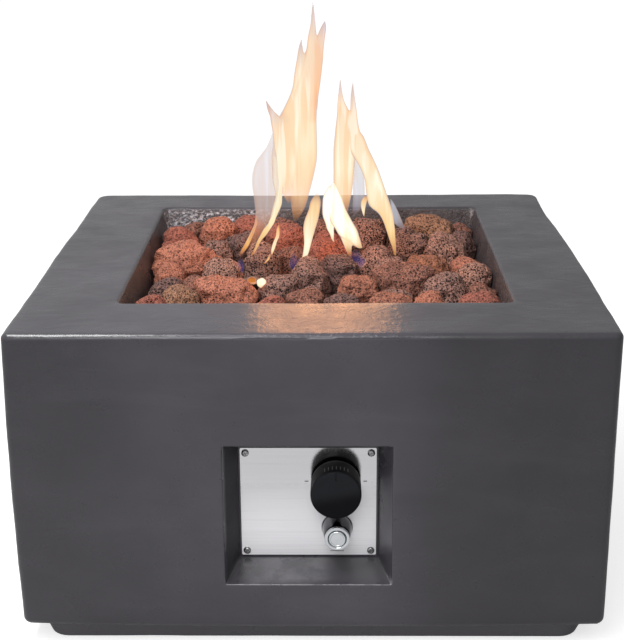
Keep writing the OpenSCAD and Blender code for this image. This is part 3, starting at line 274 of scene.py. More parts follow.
class Finish(Nodes):
    """A Principled material whose nodes vary its colour, roughness and relief."""

    def __init__(self, name, colour, roughness, metallic=0.0, **sockets):
        self.material = bpy.data.materials.new(name)
        self.material.use_nodes = True
        self.material.diffuse_color = (*colour, 1.0)
        super().__init__(self.material.node_tree)
        self.shader = self.tree.nodes["Principled BSDF"]
        self.set(Base_Color=(*colour, 1.0), Roughness=roughness, Metallic=metallic, **sockets)
        self.place = self.node("TexCoord").outputs["Object"]

    def set(self, **sockets):
        """Feeds the shader's own inputs, each named with _ for a space."""
        for label, source in sockets.items():
            self.feed(self.shader.inputs[label.replace("_", " ")], source)

    def along(self, axis):
        return self.node("SeparateXYZ", {"Vector": self.place}).outputs[axis]

    def scaled(self, scale):
        return self.node("Mapping", {"Vector": self.place, "Scale": scale}).outputs["Vector"]

    def noise(self, scale, detail=4.0, rough=0.55, stretch=(1.0, 1.0, 1.0), twist=0.0):
        place = self.scaled(tuple(scale * s for s in stretch))
        feeds = {"Vector": place, "Scale": 1.0, "Detail": detail, "Roughness": rough, "Distortion": twist}
        return self.node("TexNoise", feeds).outputs["Fac"]

    def cells(self, scale, feature="F1"):
        feeds = {"Vector": self.scaled((scale,) * 3), "Scale": 1.0}
        return self.node("TexVoronoi", feeds, feature=feature).outputs["Distance"]

    def spread(self, source, low, high, to_low=0.0, to_high=1.0):
        """Leads a range of the source smoothly over to another range."""
        feeds = {"Value": source, "From Min": low, "From Max": high, "To Min": to_low, "To Max": to_high}
        return self.node("MapRange", feeds, interpolation_type="SMOOTHSTEP").outputs["Result"]

    def blend(self, factor, first, second, mode="MIX"):
        made = self.node("Mix", data_type="RGBA", blend_type=mode)
        for label, source in (("Factor_Float", factor), ("A_Color", first), ("B_Color", second)):
            if isinstance(source, tuple):
                source = (*source, 1.0)
            self.feed(next(s for s in made.inputs if s.identifier == label), source)
        return next(s for s in made.outputs if s.identifier == "Result_Color")

    def tinted(self, source, colour):
        return self.blend(1.0, source, colour, "MULTIPLY")

    def stored(self, name):
        """Node that reads what the mesh holds under a name."""
        return self.node("Attribute", attribute_name=name)

    def mask(self, name):
        return self.stored(name).outputs["Fac"]

    def bump(self, height, distance):
        """Adds relief of that height in metres over the relief that is there."""
        feeds = {"Height": height, "Distance": distance}
        below = self.shader.inputs["Normal"].links
        if below:
            feeds["Normal"] = below[0].from_socket
        self.set(Normal=self.node("Bump", feeds).outputs["Normal"])


def cast_finish():
    """Satin charcoal paint over a hand-trowelled cast surface, rough inside the bowl."""
    f = Finish("cast_body", (0.030, 0.028, 0.032), 0.3, IOR=1.45)
    cloud = f.noise(7.0)
    streak = f.noise(11.0, 5.0, 0.6, (0.35, 1.0, 1.6), 0.8)
    tone = f.blend(f.spread(cloud, 0.3, 0.7), (0.026, 0.0242, 0.0285), (0.034, 0.0315, 0.037))
    tone = f.blend(f.spread(streak, 0.48, 0.75, 0.0, 0.35), tone, (0.045, 0.042, 0.049))
    across = f.along("X")
    # Painted light: the body's middle across X is made lighter, a painted highlight, and its right side
    # darker, painted shade
    centre = f.times(f.spread(across, -0.30, -0.08), f.spread(across, 0.06, 0.17, 1.0, 0.0))
    tone = f.blend(centre, tone, f.tinted(tone, (1.36, 1.33, 1.38)))
    tone = f.blend(f.spread(across, 0.06, 0.20), tone, f.tinted(tone, (0.80, 0.80, 0.80)))
    # Painted light: the plinth is given a lighter tone than the rest of the body
    tone = f.blend(f.mask("foot"), tone, (0.080, 0.076, 0.084))
    shade = f.mask("shade")
    tone = f.blend(shade, tone, (0.026, 0.0245, 0.0280))
    inner = f.mask("bowl")
    soot = f.spread(f.noise(16.0, 5.0, 0.6), 0.35, 0.65)
    warm = f.blend(soot, (0.034, 0.026, 0.028), (0.060, 0.047, 0.049))
    tone = f.blend(inner, tone, warm)
    # Painted light: the recess's floor, which faces up, is made lighter
    tone = f.blend(f.mask("shelf"), tone, (0.052, 0.0495, 0.055))
    # Painted pool of light on the middle of the recess's floor, mottled by noise
    painted_floor_light = f.times(f.mask("painted_floor_light"), f.spread(f.noise(34.0, 5.0, 0.65), 0.40, 0.62, 0.15))
    tone = f.blend(painted_floor_light, tone, (0.098, 0.094, 0.102))
    # Painted highlights: pale lines along the recess's lip and right edge and down the bowl's back right
    # corner
    highlight_line = f.times(f.mask("highlight_line"), f.spread(f.noise(120.0, 4.0, 0.7), 0.36, 0.56, 0.15))
    tone = f.blend(highlight_line, tone, (0.48, 0.465, 0.48))
    # Glaze on the bowl's back left wall: real gloss in its roughness and relief, and pale specks that are
    # painted glints
    glaze_and_glints = f.mask("glaze_and_glints")
    speck = f.spread(f.noise(230.0, 5.0, 0.78, (0.7, 1.0, 1.0)), 0.42, 0.60)
    painted_glints = f.blend(speck, (0.072, 0.067, 0.074), (0.52, 0.50, 0.53))
    satin = f.maths("ADD", f.spread(f.noise(18.0, 5.0, 0.6), 0.3, 0.7, 0.25, 0.36), f.times(shade, 0.35))
    f.set(
        Base_Color=f.blend(glaze_and_glints, tone, painted_glints),
        Roughness=f.maths("SUBTRACT", satin, f.times(glaze_and_glints, 0.12)),
        Specular_IOR_Level=f.spread(shade, 0.0, 1.0, 0.5, 0.25),
    )
    calm = f.maths("SUBTRACT", 1.0, f.mask("recess"))
    f.bump(f.times(f.noise(34.0, 4.0, 0.55, (0.5, 1.0, 1.0), 1.0), calm), 0.0008)
    f.bump(f.times(f.noise(110.0, 4.0, 0.6, (0.6, 1.0, 1.0), 0.8), calm), 0.00012)
    f.bump(f.noise(600.0, 3.0, 0.6), 0.00003)
    f.bump(f.times(f.noise(95.0, 4.0, 0.6, (1.0, 0.45, 1.0), 1.6), f.mask("worn")), 0.0009)
    f.bump(f.times(f.noise(210.0, 5.0, 0.65), inner), 0.0035)
    f.bump(f.times(speck, glaze_and_glints), 0.0018)
    return f.material


def lava_finish():
    """Porous lava stone: tint and depth of pitting come from each rock."""
    f = Finish("lava_rock", (0.25, 0.12, 0.09), 0.85, Specular_IOR_Level=0.22)
    stored = f.stored("tint")
    tint = stored.outputs["Color"]
    pitted = stored.outputs["Alpha"]
    patch = f.noise(34.0, 5.0, 0.65)
    grain = f.noise(330.0, 5.0, 0.75)
    colour = f.blend(f.spread(patch, 0.50, 0.72, 0.0, 0.7), tint, f.tinted(tint, (1.32, 1.22, 1.15)))
    colour = f.blend(f.spread(patch, 0.48, 0.30, 0.0, 0.7), colour, f.tinted(tint, (0.62, 0.56, 0.60)))
    dark = f.tinted(colour, (0.46, 0.40, 0.40))
    light = f.tinted(colour, (1.42, 1.40, 1.38))
    colour = f.blend(f.spread(grain, 0.52, 0.66, 0.0, 0.8), colour, light)
    colour = f.blend(f.spread(grain, 0.50, 0.36, 0.0, 0.85), colour, dark)
    wide = f.spread(f.cells(230.0), 0.16, 0.44)
    fine = f.spread(f.cells(430.0), 0.16, 0.46)
    wall = f.times(f.spread(f.cells(300.0, "DISTANCE_TO_EDGE"), 0.02, 0.16, 1.0, 0.0), pitted)
    colour = f.blend(f.times(wall, 0.8), colour, f.tinted(tint, (2.1, 2.05, 2.0)))
    # Pores painted near black: painted shade in their hollows
    pores = f.times(f.spread(f.times(wide, fine), 0.0, 0.8, 1.0, 0.0), pitted)
    f.set(Base_Color=f.blend(pores, colour, (0.020, 0.011, 0.010)))
    f.bump(f.noise(120.0, 6.0, 0.75), 0.0018)
    f.bump(f.times(wide, pitted), 0.0022)
    f.bump(f.times(fine, pitted), 0.0012)
    f.bump(grain, 0.0007)
    return f.material


def brushed_finish():
    """Steel with a horizontal brushed grain, which smears its reflections upright."""
    f = Finish("brushed_plate", (0.74, 0.73, 0.75), 0.4, 1.0, Anisotropic=0.70, Anisotropic_Rotation=0.25)
    line = f.noise(1.0, 3.0, 0.6, (10.0, 10.0, 3600.0))
    band = f.noise(1.0, 2.0, 0.5, (4.0, 4.0, 330.0))
    height = f.along("Z")
    tone = f.blend(f.spread(line, 0.3, 0.7), (0.94, 0.94, 0.94), (1.0, 1.0, 1.0))
    tone = f.blend(f.spread(band, 0.5, 0.7, 0.0, 0.35), tone, (0.86, 0.86, 0.86))
    # Painted light and shade: the plate is lighter low down and darker towards its top, above the knob
    level = f.blend(f.spread(height, 0.112, 0.225), (0.82, 0.81, 0.83), (0.545, 0.542, 0.555))
    f.set(
        Base_Color=f.tinted(tone, level),
        Roughness=f.spread(height, KNOB_AT.z - 0.02, KNOB_AT.z + 0.008, 0.50, 0.10),
        Tangent=f.node("Tangent", direction_type="RADIAL", axis="Z").outputs["Tangent"],
    )
    f.bump(line, 0.00002)
    return f.material


def metal_finish(name, colour, roughness, worn):
    """Plain or plated metal with a drawn grain and blotches of a second colour."""
    f = Finish(name, colour, roughness, metallic=1.0)
    f.set(
        Base_Color=f.blend(f.spread(f.noise(90.0, 5.0, 0.6), 0.42, 0.72), colour, worn),
        Roughness=f.spread(f.noise(240.0, 4.0, 0.6), 0.3, 0.7, roughness * 0.8, roughness * 1.25),
    )
    f.bump(f.noise(900.0, 3.0, 0.6), 0.00004)
    return f.material


def coat_finish(name, colour, roughness, height, scale=1400.0, glazing=0.0):
    """Moulded plastic, rubber, ceramic or paint with a fine even grain."""
    f = Finish(name, colour, roughness, Coat_Weight=glazing)
    lighter = tuple(min(1.0, c * 1.35 + 0.001) for c in colour)
    f.set(
        Base_Color=f.blend(f.spread(f.noise(120.0, 4.0, 0.6), 0.35, 0.75), colour, lighter),
        Roughness=f.spread(f.noise(60.0, 4.0, 0.6), 0.3, 0.7, roughness * 0.85, roughness * 1.2),
    )
    f.bump(f.noise(scale, 3.0, 0.6), height)
    return f.material


def knob_finish():
    """Moulded black plastic with a satin face, lightened towards its top by a painted reflection."""
    f = Finish("knob_black", (0.004, 0.004, 0.005), 0.38, Specular_IOR_Level=0.03)
    f.set(
        Base_Color=f.blend(f.mask("painted_face_reflection"), (0.0015, 0.0014, 0.0018), (0.0125, 0.0130, 0.0150)),
        Roughness=f.spread(f.noise(60.0, 4.0, 0.6), 0.3, 0.7, 0.34, 0.46),
    )
    f.bump(f.noise(2400.0, 3.0, 0.6), 0.000015)
    return f.material


# Colour, roughness and the colour of its blotches
METALS = {
    "screw_steel": ((0.32, 0.32, 0.33), 0.26, (0.18, 0.18, 0.19)),
    "galvanised": ((0.50, 0.52, 0.54), 0.45, (0.64, 0.66, 0.68)),
    "brass": ((0.70, 0.50, 0.22), 0.30, (0.52, 0.36, 0.16)),
    "valve_alloy": ((0.56, 0.56, 0.54), 0.48, (0.46, 0.46, 0.44)),
    "spring_steel": ((0.40, 0.40, 0.42), 0.30, (0.28, 0.27, 0.27)),
    "copper": ((0.72, 0.38, 0.24), 0.32, (0.42, 0.22, 0.14)),
    "burner_steel": ((0.36, 0.33, 0.30), 0.42, (0.22, 0.16, 0.20)),
    "pilot_steel": ((0.10, 0.075, 0.060), 0.42, (0.045, 0.032, 0.034)),
    "chrome": ((0.56, 0.575, 0.59), 0.16, (0.50, 0.515, 0.53)),
    "dark_chrome": ((0.13, 0.13, 0.14), 0.12, (0.09, 0.09, 0.10)),
}
# Colour, roughness and height of the grain, then its scale and a clear coat where they differ
COATS = {
    "pan_steel": ((0.030, 0.028, 0.028), 0.55, 0.0001, 700.0),
    "print_grey": ((0.045, 0.045, 0.050), 0.5, 0.00001),
    "black_plastic": ((0.018, 0.018, 0.020), 0.42, 0.00003),
    "lead_rubber": ((0.020, 0.020, 0.020), 0.60, 0.00003),
    "insulator": ((0.82, 0.80, 0.74), 0.18, 0.00001, 1400.0, 0.4),
    "battery_wrap": ((0.05, 0.09, 0.20), 0.30, 0.00001),
}
FINISHES = {
    "cast_body": cast_finish(),
    "lava_rock": lava_finish(),
    "brushed_plate": brushed_finish(),
    "knob_black": knob_finish(),
    **{name: metal_finish(name, *values) for name, values in METALS.items()},
    **{name: coat_finish(name, *values) for name, values in COATS.items()},
}


# Cast body


def ring(half, corner_radii, centre, z, side_points=88, corner_points=8):
    """Closed loop round a rectangle; its corner radii are those of the front and the back."""
    front, back = corner_radii
    corners = ((1, -1, front, -90), (1, 1, back, 0), (-1, 1, back, 90), (-1, -1, front, 180))
    arcs = []
    for sx, sy, r, start in corners:
        cx = centre[0] + sx * (half[0] - r)
        cy = centre[1] + sy * (half[1] - r)
        angles = [math.radians(start + 90.0 * k / (corner_points - 1)) for k in range(corner_points)]
        arcs.append([(cx + r * math.cos(a), cy + r * math.sin(a), z) for a in angles])
    points = []
    for arc, following in zip(arcs, arcs[1:] + arcs[:1]):
        start = Vector(arc[-1])
        end = Vector(following[0])
        points += arc + [tuple(start.lerp(end, k / side_points)) for k in range(1, side_points)]
    return np.array(points)


def loft(rings, closed=False):
    """Faces that join loops of equal count; closed joins the last loop to the first."""
    count = len(rings[0])
    faces = []
    for low in range(len(rings) if closed else len(rings) - 1):
        high = (low + 1) % len(rings)
        for k in range(count):
            n = (k + 1) % count
            faces.append((low * count + k, low * count + n, high * count + n, high * count + k))
    return np.concatenate(rings), faces


def lead(rings, target, steps=1):
    """Adds loops that lead from the last one to the target in even steps."""
    start = rings[-1]
    rings += [start + (target - start) * k / steps for k in range(1, steps)] + [target]


def square(half, front, back, z):
    return ring((half, half), (front, back), (0.0, 0.0), z)


def bowl_ring(half, radius, z):
    return ring(half, (radius, radius), BOWL_AT, z)


def grown(half, amount):
    return (half[0] + amount, half[1] + amount)


def rounding(radius, count):
    """Steps round a quarter turn: the way that is left across, and the way gone along."""
    angles = [math.radians(90.0 * k / count) for k in range(count + 1)]
    return [(radius * (1 - math.sin(a)), radius * (1 - math.cos(a))) for a in angles]


def shell_rings():
    """The body's loops, from the plinth's outer foot over the rim and back down inside."""
    r = []
    for left, gone in rounding(PLINTH_CHAMFER, 3):
        r.append(square(PLINTH_HALF - left, PLINTH_R - left, PLINTH_R - left, gone))
    lead(r, square(PLINTH_HALF, PLINTH_R, PLINTH_R, PLINTH_TOP), 4)
    under = LOW_EDGE_R
    lead(r, square(HALF - under, FRONT_R - under, BACK_R - under, PLINTH_TOP), 3)
    for left, gone in rounding(LOW_EDGE_R, 6)[1:]:
        r.append(square(HALF - left, FRONT_R - left, BACK_R - left, PLINTH_TOP + gone))
    lead(r, square(HALF, FRONT_R, BACK_R, TOP - EDGE_R), 42)
    for left, gone in rounding(EDGE_R, 6)[1:]:
        r.append(square(HALF - gone, FRONT_R - gone, BACK_R - gone, TOP - left))
    lead(r, bowl_ring(grown(MOUTH, MOUTH_ROUND), BOWL_R + MOUTH_ROUND, TOP), 13)
    for left, gone in rounding(MOUTH_ROUND, 4)[1:]:
        r.append(bowl_ring(grown(MOUTH, left), BOWL_R + left, TOP - gone))
    lead(r, bowl_ring(LEDGE, BOWL_R, LEDGE_Z), 12)
    lead(r, bowl_ring(WELL, WELL_R, LEDGE_Z), 3)
    lead(r, bowl_ring(WELL, WELL_R, LEDGE_LOW))
    lead(r, bowl_ring(grown(LEDGE, BOWL_WALL), BOWL_R, LEDGE_LOW))
    lead(r, bowl_ring(grown(MOUTH, BOWL_WALL), BOWL_R, TOP - RIM), 5)
    inner = HALF - WALL
    lead(r, square(inner, SHARP_R, SHARP_R, TOP - RIM))
    lead(r, square(inner, SHARP_R, SHARP_R, PLINTH_TOP + WALL), 12)
    low = PLINTH_HALF - WALL
    lead(r, square(low, SHARP_R, SHARP_R, PLINTH_TOP + WALL))
    lead(r, square(low, SHARP_R, SHARP_R, 0.0))
    return r


def upright_ring(half, centre_z, y, radius=RECESS_R, side_points=24, corner_points=4):
    """Loop of a rounded rectangle in an upright plane, for the recess."""
    loop = ring(half, (radius, radius), (RECESS_X, centre_z), 0.0, side_points, corner_points)
    return np.stack([loop[:, 0], np.full(len(loop), y), loop[:, 1]], axis=1)


def upright_circle(at, radius, y, sides):
    """Loop round a line along Y that passes through a point."""
    angles = [2 * math.pi * k / sides for k in range(sides)]
    return np.array([(at[0] + radius * math.cos(a), y, at[2] + radius * math.sin(a)) for a in angles])


def solid_between(name, rings, bored=False):
    """Closed solid from a row of loops: with a flat face at each end, or bored right through."""
    points, faces = loft(rings, bored)
    count = len(rings[0])
    last = (len(rings) - 1) * count
    if not bored:
        faces.append(tuple(range(count)))
        faces.append(tuple(range(last + count - 1, last - 1, -1)))
    return closed_object(name, points, faces)


def recess_cutter():
    """The hand recess: a flared mouth, drafted walls and a flat seat for the panel."""
    rings = [upright_ring(grown(RECESS_HALF, RECESS_ROUND), RECESS_Z, -HALF - CUT_SPARE, 0.003)]
    for left, gone in rounding(RECESS_ROUND, 4):
        mouth = grown(RECESS_HALF, left)
        rings.append(upright_ring(mouth, RECESS_Z, -HALF + gone, RECESS_R + left))
    lead(rings, upright_ring(SEAT_HALF, SEAT_Z, SEAT_Y), 6)
    return solid_between("recess_cutter", rings)


def block(name, low, high):
    """Plain box between two corners, for cutting."""
    x0, y0, z0 = low
    x1, y1, z1 = high
    points = [(x, y, z) for z in (z0, z1) for x, y in ((x0, y0), (x1, y0), (x1, y1), (x0, y1))]
    faces = [(3, 2, 1, 0), (4, 5, 6, 7), (0, 1, 5, 4), (1, 2, 6, 5), (2, 3, 7, 6), (3, 0, 4, 7)]
    return mesh_object(name, points, faces)


def drill(name, at, radius, depth, sides=24):
    """Round cutter along +Y from a point."""
    return solid_between(name, [upright_circle(at, radius, y, sides) for y in (at[1], at[1] + depth)])


# Outward bulge in millimetres along each side, at stations from the front to the back
STATIONS = np.array([-0.36, -0.29, -0.225, -0.165, -0.095, -0.02, 0.06, 0.14, 0.21, 0.275, 0.35])
LEFT_BULGE = np.array([0.6, 0.2, 0.8, 0.4, 1.4, 3.2, 2.8, 1.2, 1.8, 2.4, 2.0])
RIGHT_BULGE = np.array([0.8, 1.8, 2.0, 3.6, 4.0, 3.0, 2.0, 1.0, -1.6, -1.8, 0.6])
# Where the unevenness of each face begins and is full, in metres from the middle or the floor
SIDE_FADE = (0.325, 0.352)
FRONT_FADE = (0.335, 0.352)
TOP_FADE = (0.385, 0.400)
BOWL_FADE = (0.335, 0.36)
FLOOR_FADE = (0.0, 0.06)
HEIGHT_FADE = (0.1, 0.4)
# Calm field round the recess: half width, its fade, low and high end, share of the unevenness left
CALM_HALF = 0.115
CALM_FADE = (0.10, 0.16)
CALM_Z = (0.07, 0.285)
CALM_SHARE = 0.25
# Forms in millimetres: swell low on the left front, lift of the plinth's foot, flare of the
# plinth to the left and right, sag of the front hem
LEFT_SWELL = 2.6
FOOT_LIFT = 1.2
PLINTH_FLARE = (-17.0, 19.0)
HEM_SAG = 4.0
# Where these forms begin and are full, and the height of the swell
SWELL_FADE = (-0.1, -0.355)
SWELL_HEIGHT = 0.36
FOOT_FADE = (0.322, 0.328)
FLARE_FADE = (0.318, PLINTH_HALF)
HEM_RISE = (0.075, 0.035)
HEM_FADE = (0.325, 0.345)
HEM_HALF = 0.35


def wave(points, scale, seed, stretch=(1.0, 1.0, 1.0)):
    """Smooth noise from -1 to 1 at each point."""
    shift = Vector((seed * 3.7, seed * 1.3, seed * 2.1))
    s = Vector(stretch) * scale
    return np.array([noise.noise(Vector((p[0] * s.x, p[1] * s.y, p[2] * s.z)) + shift) for p in points])


def weather(mesh):
    """Hand-laid unevenness of the cast faces, left out at the seat, the ledge and the floor."""
    p = coordinates(mesh)
    x, y, z = p.T
    outermost = np.maximum(np.abs(x), np.abs(y))
    out = np.zeros_like(p)
    slow = wave(p, 6.0, 1)
    fine = wave(p, 19.0, 2, (1.0, 1.0, 0.8))
    ripple = wave(p, 45.0, 3)
    rise = smoothstep(*FLOOR_FADE, z)
    tall = 0.55 + 0.45 * smoothstep(*HEIGHT_FADE, z)
    # Sides
    left = smoothstep(*SIDE_FADE, -x) * rise
    right = smoothstep(*SIDE_FADE, x) * rise
    corner = smoothstep(*SWELL_FADE, y)
    swell = np.sin(np.clip((TOP - z) / SWELL_HEIGHT, 0.0, 1.0) * math.pi) * LEFT_SWELL * corner
    out[:, 0] -= left * (np.interp(y, STATIONS, LEFT_BULGE) * tall + swell + 0.5 * fine + 0.2 * ripple)
    out[:, 0] += right * (np.interp(y, STATIONS, RIGHT_BULGE) * tall + 0.5 * fine + 0.2 * ripple)
    # Front and back
    from_recess = np.abs(x - RECESS_X)
    calm = (from_recess < CALM_HALF) & (z > CALM_Z[0]) & (z < CALM_Z[1])
    share = CALM_SHARE + (1.0 - CALM_SHARE) * smoothstep(*CALM_FADE, from_recess)
    share = np.where(calm, CALM_SHARE, share)
    front = smoothstep(*FRONT_FADE, -y) * rise
    out[:, 1] -= front * (1.0 * slow + 0.45 * fine + 0.2 * ripple) * share
    back = smoothstep(*FRONT_FADE, y) * rise
    out[:, 1] += back * (1.0 * slow + 0.5 * fine + 0.2 * ripple)
    # Top and the bowl's walls
    top = smoothstep(*TOP_FADE, z)
    out[:, 2] += top * (0.6 * slow + 0.35 * fine + 0.15 * ripple)
    inside = smoothstep(*BOWL_FADE, z) * (1.0 - top) * (np.abs(x - BOWL_AT[0]) < 0.25)
    inside = inside * (np.abs(y - BOWL_AT[1]) < 0.254)
    out[:, :2] += (inside * (0.5 * fine + 0.3 * ripple))[:, None] * np.sign(p[:, :2])
    # Plinth and the hem above it
    foot = smoothstep(PLINTH_TOP, 0.012, z) * smoothstep(*FOOT_FADE, outermost)
    out[:, 2] += foot * (FOOT_LIFT * np.clip(wave(p, 14.0, 5, (1.0, 1.0, 0.0)), 0.0, 1.0))
    low = (z < PLINTH_TOP + 0.0005) & (np.abs(x) < PLINTH_HALF + 0.001)
    flare = low * smoothstep(0.0, PLINTH_TOP, z) * smoothstep(*FLARE_FADE, np.abs(x))
    out[:, 0] += flare * np.where(x < 0.0, *PLINTH_FLARE)
    hem = (z > PLINTH_TOP - 0.0005) * smoothstep(*HEM_RISE, z) * smoothstep(*HEM_FADE, -y)
    out[:, 2] -= hem * HEM_SAG * (1.0 - np.clip(np.abs(x) / HEM_HALF, 0.0, 1.0) ** 3)
    set_coordinates(mesh, p + out * MM)


# Where each mark on the body begins and is full in metres, and how far left of the recess's middle the
# painted pool of light on its floor lies
GLAZE_BACK = (0.225, 0.235)
GLAZE_LEFT = (-0.03, -0.10)
SHELF_END = (0.100, 0.094)
FLOOR_LIGHT_ROUND = (0.062, 0.025)
FLOOR_LIGHT_LEFT = 0.022
HIGHLIGHT_RISE = (0.330, 0.345)
WORN_LEFT = (-0.10, -0.05)
WORN_RIGHT = (0.14, 0.09)
WORN_FRONT = (-0.21, -0.24)
# Depth of the recess, and heights at its mouth and seat below which its floor and side count
RECESS_Y = (-HALF, SEAT_Y)
SHELF_LINE = (0.092, 0.1035)
SIDE_LINE = (0.0880, 0.0995)
# Painted highlight on the recess's lower lip along X
LIP_X = (-0.105, 0.08, 0.095)
LIP_HIGHLIGHT = (0.26, 0.34, 0.8)
SIDE_HIGHLIGHT = 0.35
# Painted highlight down the bowl's back right corner: size of its field, half its angle in degrees,
# strength
HIGHLIGHT_FIELD = 0.014
HIGHLIGHT_ANGLE = 8.0
HIGHLIGHT_STRENGTH = 0.75


def mark_regions(mesh):
    """Marks the regions that the finish tells apart: bowl, glaze, recess and worn top edge, with painted
    shade on the recess's left wall, painted light on its floor and on the plinth, and painted highlights
    on the recess's lip and the bowl's corner.
    """
    x, y, z = coordinates(mesh).T
    deep = smoothstep(TOP - 0.001, TOP - 0.006, z) * (z > LEDGE_LOW + 0.001)
    near = (np.abs(x - BOWL_AT[0]) < MOUTH[0] + 0.0015) & (np.abs(y - BOWL_AT[1]) < MOUTH[1] + 0.0015)
    inner = deep * near
    mark(mesh, "bowl", inner)
    mark(mesh, "glaze_and_glints", inner * (smoothstep(*GLAZE_BACK, y - BOWL_AT[1]) * smoothstep(*GLAZE_LEFT, x)))
    # Recess: its inside, floor, dust and shaded left wall
    # Recess: its inside, its floor made lighter by painted light, a painted pool of light on that floor's
    # middle, and its left wall darkened by painted shade
    across = x - RECESS_X
    floor_z = RECESS_Z - RECESS_HALF[1]
    hollow = (np.abs(across) < RECESS_HALF[0] + 0.001) & (np.abs(z - RECESS_Z) < RECESS_HALF[1] + 0.001)
    mark(mesh, "recess", hollow & (y > -HALF + 0.0015) & (y < SEAT_Y + 0.001))
    # The recess's floor carries painted light
    shelf = hollow & (z < RECESS_Z - 0.5 * RECESS_HALF[1]) & (y > -HALF + 0.004) & (y < SEAT_Y - 0.001)
    shelf = shelf * smoothstep(*SHELF_END, np.abs(across)) * (z < np.interp(y, RECESS_Y, SHELF_LINE))
    mark(mesh, "shelf", shelf)
    # Painted pool of light on the middle of the recess's floor
    mark(mesh, "painted_floor_light", shelf * smoothstep(*FLOOR_LIGHT_ROUND, np.abs(across + FLOOR_LIGHT_LEFT)))
    side = np.interp(y, RECESS_Y, (RECESS_HALF[0], SEAT_HALF[0])) - 0.0015
    mark(mesh, "shade", hollow * (y > -HALF + 0.003) * (y < SEAT_Y - 0.001) * (-across > side))
    # The plinth's mark carries painted light: the finish makes it lighter
    mark(mesh, "foot", z < PLINTH_TOP - 0.003)
    # Painted highlights on the recess's lower lip and right edge, and down the bowl's back right corner
    lip = (y > -HALF + 0.0002) & (y < -HALF + 0.0014) & (z < floor_z + 0.0030) & hollow
    edge = (across > side + 0.0008) & (z < np.interp(y, RECESS_Y, SIDE_LINE)) & (y < -HALF + 0.012)
    rim = np.maximum(lip * np.interp(x, LIP_X, LIP_HIGHLIGHT), edge * hollow * SIDE_HIGHLIGHT)
    right = x - (BOWL_AT[0] + MOUTH[0] - BOWL_R)
    behind = y - (BOWL_AT[1] + MOUTH[1] - BOWL_R)
    turn = np.degrees(np.arctan2(behind, right))
    highlight_line = (right > -HIGHLIGHT_FIELD) & (behind > -HIGHLIGHT_FIELD) & (np.abs(turn - 45.0) < HIGHLIGHT_ANGLE)
    mark(mesh, "highlight_line", np.maximum(highlight_line * inner * smoothstep(*HIGHLIGHT_RISE, z) * HIGHLIGHT_STRENGTH, rim))
    middle = smoothstep(*WORN_LEFT, x) * smoothstep(*WORN_RIGHT, x)
    mark(mesh, "worn", middle * smoothstep(*WORN_FRONT, y) * (z > TOP - 0.004))


# Hose notch in the rear of the plinth, between two corners, and the bores of the panel's inserts
NOTCH = ((-0.022, 0.312, -0.005), (0.022, 0.335, 0.021))
INSERT_BORE_R = 0.00375
INSERT_BORE_DEPTH = 0.013
# Faces of the body are smooth below this angle in degrees
SHELL_ANGLE = 35


def make_shell():
    points, faces = loft(shell_rings(), closed=True)
    shell = mesh_object("cast_shell", points, faces)
    bulge = solid_between("bulge", [
        upright_ring(grown(RECESS_HALF, WALL), RECESS_Z, -HALF + 0.001, 0.002, 6),
        upright_ring(grown(SEAT_HALF, WALL), SEAT_Z, SEAT_Y + SEAT_T, 0.002, 6),
    ])
    boolean(shell, bulge, "UNION")
    boolean(shell, recess_cutter())
    window = block(
        "window",
        (RECESS_X - WINDOW_HALF[0], SEAT_Y - 0.001, SEAT_Z - WINDOW_HALF[1]),
        (RECESS_X + WINDOW_HALF[0], SEAT_Y + SEAT_T + 0.001, SEAT_Z + WINDOW_HALF[1]),
    )
    boolean(shell, window)
    for sx in (-1, 1):
        for sz in (-1, 1):
            at = (RECESS_X + sx * SCREW_AT[0], SEAT_Y - 0.001, SEAT_Z + sz * SCREW_AT[1])
            boolean(shell, drill("insert_hole", at, INSERT_BORE_R, INSERT_BORE_DEPTH))
    boolean(shell, block("notch", *NOTCH))
    weather(shell.data)
    mark_regions(shell.data)
    shade_by_angle(shell.data, SHELL_ANGLE)
    piece(shell, "table", "cast_body", "body_shell")


# Lava rock

# Tints, each with how open the pores are
SALMON = (0.262, 0.098, 0.062, 0.60)
CLAY = (0.200, 0.078, 0.050, 0.65)
RED = (0.195, 0.066, 0.046, 0.60)
ORANGE_BROWN = (0.195, 0.076, 0.043, 0.65)
BROWN = (0.145, 0.062, 0.044, 0.80)
DARK = (0.093, 0.050, 0.043, 1.00)
GREY = (0.142, 0.076, 0.061, 1.00)
PALE = (0.190, 0.097, 0.073, 1.00)
OLIVE = (0.178, 0.090, 0.055, 0.80)
# Tint of each rock in a node, in the order of its solids
TINTS = {
    "rocks_front_left": (RED, OLIVE, SALMON, DARK, GREY, SALMON, BROWN, RED),
    "rocks_front_right": (BROWN, DARK, CLAY, CLAY, BROWN, GREY, RED, ORANGE_BROWN),
    "rocks_middle": (GREY, PALE, DARK, PALE, GREY, PALE, ORANGE_BROWN, SALMON),
    "rocks_back_left": (RED, BROWN, SALMON, DARK, RED, RED),
    "rocks_back_right": (GREY, GREY, OLIVE, PALE, DARK, BROWN),
    "rocks_fill": (BROWN, SALMON, RED, GREY, BROWN, GREY),
    "rocks_base": (DARK, BROWN, RED, GREY),
}
# Grain of a rock's mesh, coarser where it is hidden, and the depth of its relief
ROCK_GRAIN = 0.0019
HIDDEN_GRAIN = {"rocks_base": 0.0045, "rocks_fill": 0.0026}
ROCK_RELIEF = 1.35
# Corners nearer than this are one corner of a rock
WELD = 1e-5


